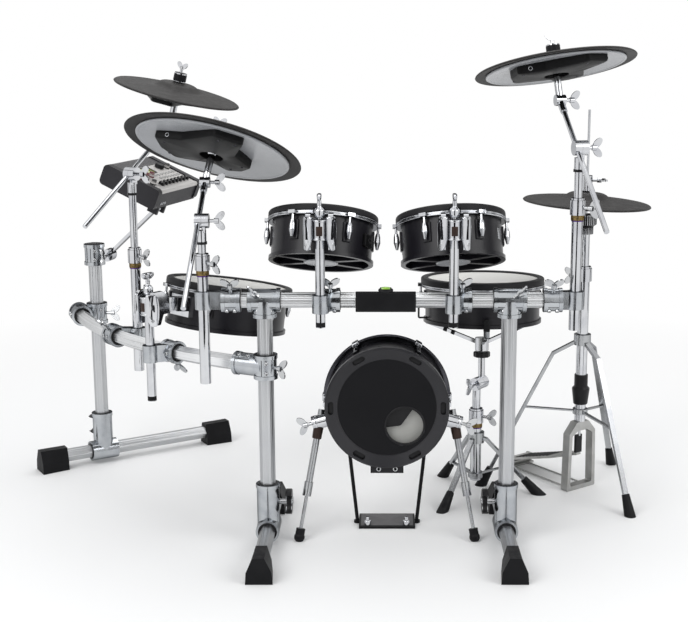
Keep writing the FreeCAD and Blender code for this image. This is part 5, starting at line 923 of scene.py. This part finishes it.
front = place_at(KICK + Y * KICK_FRONT, Y, -X)
port = kick_face(PORT_X, SKIN_BACK, PORT_Z)
skin_loop = [(0, -0.3), (0, 0.5), (1, 0.5), (1, -0.3)]
skin = between(circle(47.5) + [PORT_X, PORT_Z], circle(118.6), skin_loop, kick_face(0, SKIN_BACK, 0))
piece("kick_front_skin", [skin], "rack", SKIN)
liner = [(44.3, -6), (44.3, 1.4), (46.2, 2.2), (49.2, 1.4), (49.8, -0.4), (47.0, -0.4), (46.6, -6)]
piece("kick_port_liner", [lathe(liner, 0.7, port, 96)], "rack", NYLON)
clips = [brick(within(port, ray_at(a) * 48.2 + Z, Z, ray_at(a + 90)), 3.6, 1.5, -0.5, 1.6, 0.5)
         for a in (29, -17, -100, -152)]
piece("kick_port_clips", clips, "rack", MODULE)
slots = [brick(within(front, ray_at(a) * SLOT_AT, Z, ray_at(a)), 6.4, 15.9, 9.3, 10.4, 0.3) for a in SLOT_TURNS]
piece("kick_slot_floors", slots, "rack", NYLON)
foam = [(0, -6), (134, -6), (135.1, -3), (135.1, 4), (132, 6), (0, 6)]
piece("kick_foam_disc", [lathe(foam, 1.5, kick_face(0, 56, 0), 96, False)], "rack", FOAM)
# Black block in front of the foam, shaped to the dark part of the view through the port: painted shade.
corners = rounded([(23, -39), (75, 35), (13, 61), (-67, 31), (-66, -50)], 3, 5)
shade_block = stacked(corners, soft_levels(-0.5, 11, 1.5), kick_face(10.5, 50.0, -8.4))
piece("kick_painted_shade_block", [shade_block], "rack", NYLON)
jacks = [ring(3.4, 5.8, -0.6, 1.6, kick_face(x, 38.1, -156.6), 40) for x in (-20.0, 20.0)]
piece("kick_jack_rings", jacks, "rack", STEEL)
plate = place_at(KICK + Y * 70, Y, -X)
plate = on_shell(oblong(22, 5.5, 2), soft_levels(-0.6, 1.0, 0.5), KICK_SHELL, math.pi / 2, plate)
piece("kick_bare_plate", [plate], "rack", STEEL)

# %% [markdown]
# The rear hoop is rolled from dark plated metal with a hollow round it, and chrome claws hold it. The
# batter side has a black rim and a white head. The spur legs leave through brown bushes in round brackets.
# The plate for a pedal has a tread and two screws with milled heads.

# %% Kick hoop, rim, head and spurs
back = place_at(KICK + Y * KICK_BACK, Y, -X)
hoop_in = KICK_SHELL + 0.4 - KICK_HOOP
hoop = [(0.6, -16.8), (1.5, -13.6), (0.4, -8.3), (1.5, -3.0), (0.7, 0.2), (-1.4, 0.2), (-1.4, -0.3),
        (-0.4, -0.3), (-0.4, -16.2), (hoop_in, -16.2), (hoop_in, -16.8)]
hoop = lathe(np.array(hoop) + [KICK_HOOP, 0], 1.2, back, 144)
piece("kick_hoop_plated", [hoop], "rack", DARK_METAL)
claws = [brick(within(back, ray_at(a) * (KICK_HOOP - 1), Z, ray_at(a)), 5.0, 9.0, -21, 6.5, 2.2)
         for a in SLOT_TURNS]
piece("kick_claws", claws, "rack", CHROME)
lip = KICK_SHELL - 6.0
rim = [(lip, 0.2), (KICK_HOOP - 2, 0.2), (KICK_HOOP - 1.4, 2.0), (KICK_HOOP - 1.8, 6.6), (KICK_HOOP - 4.5, 8.7),
       (lip + 3, 8.7), (lip, 7.2)]
piece("kick_rim_soft", [lathe(rim, 2.0, back, 144)], "rack", RIM)
HEAD_R = 135.2
radius = np.linspace(0, HEAD_R, 40)
skin = np.concatenate([np.stack([radius, 6.0 + 0.03 * np.cos(radius * 1.4)], -1), [(HEAD_R, 0.3), (0, 0.3)]])
piece("kick_head_skin", [turned(skin, back, 128, False)], "rack", HEAD, ["kick_batter_head"])
SPUR_AT, SPUR_HOLD, SPUR_END, SPUR_FOOT = 62.0, 169.5, 187.0, np.array([214.0, -5.0, 0.0])
BUSH = [(7.6, 13), (11.6, 13), (12.2, 15), (11.4, 40), (10.6, 42), (7.6, 42)]
DOME = [(4, -12), (16.4, -12), (17.5, -11), (17.5, -6), (15.5, -1), (10, 1), (4, 1)]
bushes, ends = [], []
for side in (-1, 1):
    out = np.array([side * 0.96593, 0, -0.25882])
    hold = KICK + Y * SPUR_AT + out * SPUR_HOLD
    bushes.append(lathe(BUSH, 0.8, place_at(hold, SPUR_FOOT * [side, 1, 1] - hold, Y)))
    ends.append(lathe(DOME, 2.0, place_at(KICK + Y * SPUR_AT + out * SPUR_END, out, Y)))
piece("spur_bushes", bushes, "rack", BROWN)
piece("spur_bracket_ends", ends, "rack", CHROME)
tread = brick(place_at((0, 121, 6.0), Z, X), 65, 39, -0.2, 0.9, 0.4)
piece("pedal_plate_tread", [tread], "rack", MODULE_STRIP)
screw = [(0, 27), (3.4, 27), (4.6, 26), (4.6, 19), (7.6, 18.4), (8.6, 17.2), (8.6, 6.4), (7.6, 6.2)]
screws = [lathe(screw, 0.6, upright((x, 87.0, 0.0)), 40, False, flutes(20, 0.03)) for x in (-48.0, 48.0)]
piece("pedal_plate_screws", screws, "rack", CHROME)

# %% [markdown]
# Hi-hat stand. The seat cup is ribbed black plastic, the spring sits in a black housing, a black strap
# joins the rod to the footboard, and the board has rubber treads. The strap and the clutch move with the
# rod, the treads with the board.

# %% Hi-hat fittings
cup = [(17.0, -0.5), (19.2, -0.5), (19.4, 19.5), (27.5, 25.0), (27.6, 49.0), (25.5, 50.4), (6.6, 50.4),
       (6.6, 49.8), (24.0, 49.6)]
cup = lathe(cup, 0.9, upright(HIHAT, 694.0), 120, True, flutes(30, 0.03))
piece("hihat_cup", [cup], "rack", NYLON)
case = [(14.2, 235.6), (18.8, 235.6), (23.5, 275.8), (23.3, 279.0), (18.0, 284.4), (17.9, 316.4), (14.2, 316.4)]
piece("hihat_spring_case", [lathe(case, 1.4, upright(HIHAT), 96)], "rack", NYLON)
HEADING = np.array([-0.6, 0.8, 0.0])
ASIDE = np.array([-0.8, -0.6, 0.0])
strap = place_at(HIHAT + HEADING * 3.8, Z, ASIDE)
piece("hihat_strap", [brick(strap, 11.5, 3.9, 98.3, 148.4, 1.0)], "hihat", NYLON)
felt = ring(3.4, 14.6, 803.6, 806.6, upright(HIHAT), soft=1.0)
piece("hihat_clutch_felt", [felt], "hihat", FOOT)
HEEL_OUT, HEEL_HIGH, TOE_HIGH = 240, 20, 92
heel = HIHAT + HEADING * HEEL_OUT + Z * HEEL_HIGH
slope = unit(HIHAT + Z * TOE_HIGH - heel)
board = place_at(heel, np.cross(ASIDE, slope), slope)
treads = [brick(within(board, (s, 0, 6.0)), 3.2, 30.0, -0.3, 1.3, 0.6) for s in range(30, 170, 14)]
piece("hihat_treads", treads, "hihat_pedal", FOOT)

# %% [markdown]
# Snare basket. Three arms end in rubber grips that hold the shell, and a lobed black nut under the hub
# closes them. A black loop stands out from the side of the shell.

# %% Snare fittings
snare = PADS["snare"][0]
nut = [(9.0, -215.5), (20.5, -215.5), (22.5, -213.0), (22.5, -203.0), (20.5, -200.5), (9.0, -200.5)]
piece("snare_basket_nut", [lathe(nut, 1.4, snare, 96, True, flutes(8, 0.10))], "snare", NYLON)
grips = []
GRIP_R, ARM_OUT, ARM_RISE, ARM_LOW = 160.9, 160, 46, -180
for angle in (-90, 30, 150):
    ray = ray_at(angle)
    grips.append(brick(within(snare, ray * GRIP_R, Z, ray), 5.2, 8.2, -123.0, -91.0, 2.0))
    run = unit(ray * ARM_OUT + Z * ARM_RISE)
    for reach in (88.0, 112.0):
        spot = within(snare, run * reach + Z * ARM_LOW, run, np.cross(Z, ray))
        grips.append(brick(spot, 5.3, 5.3, -6, 6, 1.2))
piece("snare_basket_grips", grips, "snare", FOOT)
LOOP_TURN, LOOP_LOW, LOOP_OUT = 190.0, -88.0, 160.0
ray = ray_at(LOOP_TURN)
loop_place = within(snare, ray * LOOP_OUT + Z * LOOP_LOW, np.cross(ray, Z), ray)
loop_levels = [(0, -3.5), (1, -3.5), (1, 3.5), (0, 3.5)]
loop = between(oblong(9.5, 15.5, 3), oblong(13.5, 19.5, 5), loop_levels, loop_place)
piece("snare_side_loop", [loop], "snare", NYLON)

# %% [markdown]
# Rack fittings. Black liners close the mouths of the clamps round the tubes, a dark slit runs along each
# clamp, and socket bolts pull it tight. Each clamp gets them by its middle, its axis and the side where it
# opens.

# %% Clamp liners, slits and bolts
liners, slits, bolts = [], [], []
BOLT = [(0, 2.2), (2.4, 2.2), (2.4, 4.4), (4.4, 4.4), (4.9, 3.8), (4.9, -1)]
CLAMP_R, CROSS_HALF, HOLDER_HALF = 26.5, 29.0, 22.0
TEE_HALF, TEE_DROP = 38.0, 40.0
CROSS_ALONG, HOLDERS_ON_BAR, HOLDERS_ON_SIDE = 51.0, (-131.0, 175.0, -363.0, 386.0), (284.0, 536.0)


def mouth(end, out):
    """Liner at one end of a clamp: a thin ring that lies against the flats of the tube."""
    hint = X if abs(np.dot(out, Z)) > 0.9 else Z
    liners.append(ring(16.2, 22.8, -1.0, 1.1, place_at(end, out, hint), soft=0.6))


def clamp(middle, axis, half, face, ends=(-1, 1)):
    """Liners at a clamp's open ends, and a slit with two bolts on the side that face points to."""
    middle, axis = np.asarray(middle, float), unit(axis)
    for way in ends:
        mouth(middle + axis * (half * way), axis * way)
    face = unit(face - axis * np.dot(face, axis))
    slits.append(brick(place_at(middle + face * CLAMP_R, face, axis), half - 9.6, 0.9, -0.6, 0.25, 0.2))
    turn = unit(face + np.cross(axis, face) * 0.45)
    for shift in (-0.42, 0.42):
        spot = middle + axis * (half * shift) + turn * (CLAMP_R - 0.1)
        bolts.append(lathe(BOLT, 0.4, place_at(spot, turn, axis), 24, False, steps=3))


down_front = np.array([0.0, -0.85, -0.52])
for post in fronts:
    clamp(post + Z * BAR_HEIGHT, X, TEE_HALF, down_front)
    mouth(post + Z * (BAR_HEIGHT - TEE_DROP), -Z)
bar_point, bar_heading, bar_out = side_bar_at(CROSS_ALONG)
clamp(SIDE_START, Z, CROSS_HALF, -X * 0.3 - Y)
clamp(bar_point, bar_heading, CROSS_HALF, bar_out + Z * 0.8, (1,))
clamp(REAR_POST + Z * SIDE_HEIGHT, Z, CROSS_HALF, X * 0.2 - Y)
clamp(REAR_POINT, REAR_HEADING, CROSS_HALF, REAR_OUT - Z * 0.4)
clamp(REAR_POST + Z * (REAR_TOP - CROSS_HALF), Z, CROSS_HALF, -X * 0.2 - Y)
for x in HOLDERS_ON_BAR:
    clamp(X * x + Z * BAR_HEIGHT, X, HOLDER_HALF, down_front)
for distance in HOLDERS_ON_SIDE:
    bar_point, bar_heading, bar_out = side_bar_at(distance)
    clamp(bar_point, bar_heading, HOLDER_HALF, bar_out - Z * 0.4)
FOOT_TOP, FOOT_HALF = 146, 38
FEET = [(fronts[0], Y, X), (fronts[1], Y, -X), (REAR_POST, REAR_ALONG, REAR_SIDE)]
for post, along, out in FEET:
    mouth(post + Z * FOOT_TOP, Z)
    for way in (-1, 1):
        mouth(post + Z * FOOT_HEIGHT + along * (FOOT_HALF * way), along * way)
piece("clamp_liners", liners, "rack", NYLON)
piece("clamp_slits", slits, "rack", NYLON)
piece("clamp_bolts", bolts, "rack", STEEL)

# %% [markdown]
# The levers at the feet are black discs with a round bite out of one side. Two arcs from horn to horn bound
# the disc, and the frame maker fills the room between them.

# %% Foot levers
LEVER_R, BITE_R, BITE_AT, LEVER_OUT, LEVER_HIGH = 30.5, 22.2, -27.0, 43.15, 100.1
horn_x = (BITE_R ** 2 - LEVER_R ** 2 - BITE_AT ** 2) / (-2 * BITE_AT)
horn_y = math.sqrt(LEVER_R ** 2 - horn_x ** 2)
outer_turn = np.linspace(-1, 1, 60) * math.atan2(horn_y, horn_x)
inner_turn = np.linspace(-1, 1, 60) * math.atan2(horn_y, horn_x - BITE_AT)
outer_arc = polar(LEVER_R, outer_turn, outer_turn)[:, :2]
inner_arc = polar(BITE_R, inner_turn, inner_turn)[:, :2] + [BITE_AT, 0]
lever_loop = [(0.06, -0.4), (0.94, -0.4), (1, 1.6), (1, 12.4), (0.94, 14.4), (0.06, 14.4), (0, 12.4), (0, 1.6)]
levers, hubs = [], []
for post, along, out in FEET:
    place = place_at(post + out * LEVER_OUT + Z * LEVER_HIGH, out, along)
    levers.append(between(inner_arc, outer_arc, lever_loop, place, False))
    hub = [(0, 17.2), (7.5, 17.2), (9.0, 15.8), (9.0, 14.0)]
    hubs.append(lathe(hub, 0.8, within(place, (6.0, 0, 0)), 40, False))
piece("foot_levers", levers, "rack", NYLON)
piece("foot_lever_hubs", hubs, "rack", STEEL)

# %% [markdown]
# Level plate. A green bubble vial lies in a black cup on top of the plate, and a thin raised frame runs
# round the bare face of the plate.

# %% Level vial and plate frame
PLATE_X = -3.0
lens = np.linspace(0, np.pi, 25)
cup = np.stack([7.4 * np.sin(lens), -17.5 * np.cos(lens)], -1)
cup = turned(cup, place_at((PLATE_X, -20.6, 622.2), X, Z), 48, False)
piece("vial_cup", [cup], "rack", NYLON)
glass = np.stack([5.6 * np.sin(lens) ** 0.7, -12.5 * np.cos(lens)], -1)
glass = turned(glass, place_at((PLATE_X, -21.6, 625.0), X, Z), 48, False)
piece("vial_glass", [glass], "rack", VIAL)
plate = place_at((PLATE_X, -24.6, BAR_HEIGHT), -Y, X)
edge_loop = [(0, -0.3), (0, 0.5), (0.5, 0.8), (1, 0.5), (1, -0.3)]
edge = between(oblong(65.2, 19.2, 5.0), oblong(67.2, 21.2, 6.0), edge_loop, plate)
piece("level_plate_edge", [edge], "rack", NYLON)

# %% [markdown]
# Sound module. Its light panel carries a screen, three dark red knobs, black knobs, a data dial, eight
# faders and two rows of keys. The controls that move ride on their own bodies. All are moulded caps, so
# they are turned shapes and soft blocks in the frame of the panel.

# %% Module controls
MODULE_LONG, MODULE_ACROSS = np.array([0.2975, 0.9559, 0.0044]), np.array([-0.877, 0.271, 0.402])
MODULE_PLACE = place_at((-631.0, 559.0, 831.0), np.cross(MODULE_LONG, MODULE_ACROSS), MODULE_LONG)
MARK = (-0.2, 0.5, 0.2)
FADER_Y = -54
FADERS = [-60.0 + 21.0 * k for k in range(8)]
KEYS = [(-10.0 + 17.0 * column, y) for y in (-9.0, -26.0) for column in range(7)]
RED_PLACES, BLACK_PLACES = [(-94.0, -9.0), (-66.0, -9.0), (-38.0, -9.0)], [(-88.0, -44.0), (96.0, 14.0)]
KNOB = [(0, 13.8), (5.6, 13.8), (6.8, 12.6), (7.4, 3.6), (8.6, 2.6), (8.6, 0.05)]
WHEEL = [(0, 10.6), (7.0, 10.9), (10.6, 12.0), (12.6, 10.4), (13.0, 1.2), (12.4, 0.35), (3.0, 0.35),
         (3.0, -3.6), (0, -3.6)]
SADDLE = [(-7.5, -5), (7.5, -5), (7.0, 1.5), (5.2, 5), (2.6, 3.4), (0, 2.8), (-2.6, 3.4), (-5.2, 5),
          (-7.0, 1.5)]


def on_panel(x, y, z=0.0, *axes):
    """Frame in the frame of the module's panel."""
    return within(MODULE_PLACE, (x, y, z), *axes)


for name, finish, places in (("red", KNOB_RED, RED_PLACES), ("black", NYLON, BLACK_PLACES)):
    knobs = [lathe(KNOB, 0.6, on_panel(x, y), 72, False, flutes(18, 0.05)) for x, y in places]
    piece("module_knobs_" + name, knobs, "module", finish)
marks = [brick(on_panel(x, y + 3.2, 13.6), 0.5, 2.4, *MARK) for x, y in RED_PLACES + BLACK_PLACES]
piece("module_knob_marks", marks, "module", PANEL)
wheel = lathe(WHEEL, 0.6, on_panel(66.0, 22.0), 108, False, flutes(36, 0.03))
piece("module_dial_wheel", [wheel], "module_dial", NYLON, ["module_dial"])
saddle = rounded(SADDLE, 0.9)
caps = [stacked(saddle, soft_levels(-5, 5, 0.8), on_panel(x, FADER_Y, 5.3, X, Y)) for x in FADERS]
caps += [brick(on_panel(x, FADER_Y), 1.3, 1.2, -3.6, 1.0, 0.3) for x in FADERS]
piece("module_fader_caps", caps, "module_faders", NYLON, ["module_faders"])
lines = [brick(on_panel(x, FADER_Y, 8.0), 4.6, 0.6, *MARK) for x in FADERS]
piece("module_fader_lines", lines, "module_faders", PANEL)
tracks = [brick(on_panel(x, FADER_Y), 1.7, 11.4, -4.1, -3.85, 0.1) for x in FADERS]
piece("module_fader_tracks", tracks, "module", NYLON)
keys = [brick(on_panel(x, y), 4.0, 4.0, -1.7, 2.5, 0.9) for x, y in KEYS]
piece("module_keys", keys, "module_buttons", KEY_GREY, ["module_buttons"])

# %% [markdown]
# The screen lies in a black bezel, which is a frame between two outlines. A light nosing closes the panel
# in front, a dark plate with ribs covers the strip behind it, and three jacks sit in the front.

# %% Module screen, nosing, back plate and jacks
HALF_LONG, BACK_Y = 107.6, 61.5
screen = on_panel(-14.0, 20.0)
piece("module_screen", [brick(screen, 31.4, 13.4, -1.3, -0.2, 0.3)], "module", SCREEN)
bezel_loop = [(0, -1.2), (0, 0.3), (0.2, 0.9), (0.8, 1.2), (1, 0.6), (1, -0.3)]
bezel = between(oblong(31.6, 13.6, 1.0), oblong(36.5, 18.5, 3.0), bezel_loop, screen)
piece("module_bezel", [bezel], "module", NYLON)
nose = rounded([(-5.2, -4.6), (5.0, -3.4), (5.0, 5.2), (-1.5, 5.4), (-5.2, 1.5)], 1.2)
nose = stacked(nose, soft_levels(-HALF_LONG, HALF_LONG, 0.4), on_panel(0, -78.4, -4.2, X, Y))
piece("module_nosing", [nose], "module", PANEL)
strip = [brick(on_panel(0, BACK_Y), HALF_LONG, 20.0, -0.6, 0.9, 0.4)]
strip += [brick(on_panel(x, BACK_Y, 0.8), 1.2, 14.0, -0.2, 0.7, 0.3) for x in range(-96, 100, 12)]
piece("module_back_plate", strip, "module", MODULE_STRIP)
jacks = [ring(2.0, 3.8, -0.6, 1.0, on_panel(x, -82.0, -40.0, -Y), 32, 0.5) for x in (-84.0, -74.0, -62.0)]
piece("module_jack_rings", jacks, "module", CHROME)

# %% [markdown]
# Light, floor and camera. The photograph was taken on a white floor under soft light. The world is white
# for the camera and in reflections. Only reflections see them, and they give the bright metal its
# streaks.

# %% Stage
scene = bpy.context.scene
WHITE, COOL, LIT_STRENGTH = (1.0, 1.0, 1.0, 1.0), (0.98, 0.99, 1.0, 1.0), 0.62
FLOOR_HALF, FADE_START, FADE_END = 40.0, 1.0, 2.6


def seen_rays(tree):
    """1 for camera, glossy and transmission rays, else 0."""
    path = tree.nodes.new("ShaderNodeLightPath").outputs
    value = path["Is Camera Ray"]
    for label in ("Is Glossy Ray", "Is Transmission Ray"):
        value = combined(tree, value, path[label], "MAXIMUM")
    return value


def blended(tree, share, first, second, output):
    """Two shaders mixed by a share and sent to an output node."""
    blend = tree.nodes.new("ShaderNodeMixShader")
    for source, socket in zip((share, first.outputs[0], second.outputs[0]), blend.inputs):
        tree.links.new(source, socket)
    tree.links.new(blend.outputs[0], output.inputs[0])


def staged(name, corners, finish):
    """Flat four-sided panel with one finish, linked to the scene."""
    mesh = bpy.data.meshes.new(name)
    mesh.from_pydata(corners, [], [(0, 1, 2, 3)])
    mesh.materials.append(finish)
    made = bpy.data.objects.new(name, mesh)
    scene.collection.objects.link(made)
    return made


world = bpy.data.worlds.new("studio")
scene.world = world
world.use_nodes = True
tree = world.node_tree
tree.nodes.clear()
seen, lit = (tree.nodes.new("ShaderNodeBackground") for _ in range(2))
set_values(seen, Color=WHITE, Strength=1.0)
set_values(lit, Color=COOL, Strength=LIT_STRENGTH)
blended(tree, seen_rays(tree), lit, seen, tree.nodes.new("ShaderNodeOutputWorld"))

floor_white, tree, shader = start_finish("floor_white")
set_values(shader, Base_Color=(0.92, 0.92, 0.92, 1.0), Roughness=0.6, Specular_IOR_Level=0.2)
length = tree.nodes.new("ShaderNodeVectorMath")
length.operation = "LENGTH"
tree.links.new(tree.nodes.new("ShaderNodeTexCoord").outputs["Object"], length.inputs[0])
share = combined(tree, ranged(tree, length.outputs["Value"], FADE_START, FADE_END), seen_rays(tree))
blended(tree, share, shader, tree.nodes.new("ShaderNodeEmission"), tree.nodes["Material Output"])
staged("floor", [(-FLOOR_HALF, -FLOOR_HALF, 0), (FLOOR_HALF, -FLOOR_HALF, 0), (FLOOR_HALF, FLOOR_HALF, 0),
                 (-FLOOR_HALF, FLOOR_HALF, 0)], floor_white)


def soft_lamp(name, location, target, size, power):
    """Square area lamp at a point, turned to a target."""
    lamp = bpy.data.lights.new(name, "AREA")
    lamp.shape = "SQUARE"
    lamp.size = size
    lamp.energy = power
    made = bpy.data.objects.new(name, lamp)
    made.location = location
    way = np.array(target) - np.array(location)
    pitch = math.atan2(math.hypot(way[0], way[1]), -way[2])
    made.rotation_euler = (pitch, 0.0, math.atan2(-way[0], way[1]))
    scene.collection.objects.link(made)


def dark_card(name, corners):
    """Dark panel that only reflections see."""
    finish, _, shader = start_finish(name)
    set_values(shader, Base_Color=(0.02, 0.02, 0.022, 1.0), Roughness=1.0, Specular_IOR_Level=0.0)
    card = staged(name, corners, finish)
    for kind in ("camera", "diffuse", "shadow", "transmission"):
        setattr(card, "visible_" + kind, False)


def standing(start, end, low, high):
    """Corners of an upright panel between two points on the floor, from one height to another."""
    return [(*start, low), (*end, low), (*end, high), (*start, high)]


NEAR, FAR, LEFT, RIGHT, HIGH, OFF_FLOOR = -2.3, -4.6, -0.75, 1.05, 3.4, 0.004
BEHIND, LOW_EDGE, HIGH_EDGE, WIDE = 4.0, 0.95, 2.1, 2.6
ASIDE_X, ASIDE_NEAR, ASIDE_FAR = 3.0, -0.1, 0.5
dark_card("front_strip", [(LEFT, NEAR, OFF_FLOOR), (RIGHT, NEAR, OFF_FLOOR), (RIGHT, FAR, OFF_FLOOR),
                          (LEFT, FAR, OFF_FLOOR)])
dark_card("front_wall", standing((LEFT, FAR), (RIGHT, FAR), 0.0, HIGH))
dark_card("back_wall", standing((-WIDE, BEHIND), (WIDE, BEHIND), LOW_EDGE, HIGH_EDGE))
for name, x in (("left_wall", -ASIDE_X), ("right_wall", ASIDE_X)):
    dark_card(name, standing((x, ASIDE_NEAR), (x, ASIDE_FAR), 0.0, HIGH))

soft_lamp("key", (-2.2, -2.6, 3.2), (0, 0, 0.5), 2.4, 75.0)
soft_lamp("fill", (2.8, -1.8, 2.4), (0, 0, 0.5), 2.0, 38.0)
soft_lamp("top", (0.2, 1.0, 3.6), (0, 0.1, 0.5), 2.6, 40.0)

# %% [markdown]
# The picture is cut a little off centre.

# %% Camera
PHOTO_WIDE, PHOTO_TALL, FOCAL_PIXELS, MIDDLE_X, MIDDLE_Y = 688, 622, 1300.0, 387.0, 311.0
SENSOR, LOOK_DOWN, EYE = 36.0, 12.0, np.array([0.0, -2.97, 1.2])
camera_data = bpy.data.cameras.new("photo_camera")
camera_data.sensor_fit = "HORIZONTAL"
camera_data.sensor_width = SENSOR
camera_data.lens = FOCAL_PIXELS * SENSOR / PHOTO_WIDE
camera_data.shift_x = -(MIDDLE_X - PHOTO_WIDE / 2) / PHOTO_WIDE
camera_data.shift_y = (MIDDLE_Y - PHOTO_TALL / 2) / PHOTO_WIDE
camera_data.clip_end = 200.0
camera = bpy.data.objects.new("photo_camera", camera_data)
camera.location = EYE + LAYOUT
camera.rotation_euler = (math.radians(90.0 - LOOK_DOWN), 0.0, 0.0)
scene.collection.objects.link(camera)
scene.camera = camera
scene.view_settings.view_transform = "Standard"
print("camera at", [round(v, 3) for v in camera.location], "lens", round(camera_data.lens, 2))
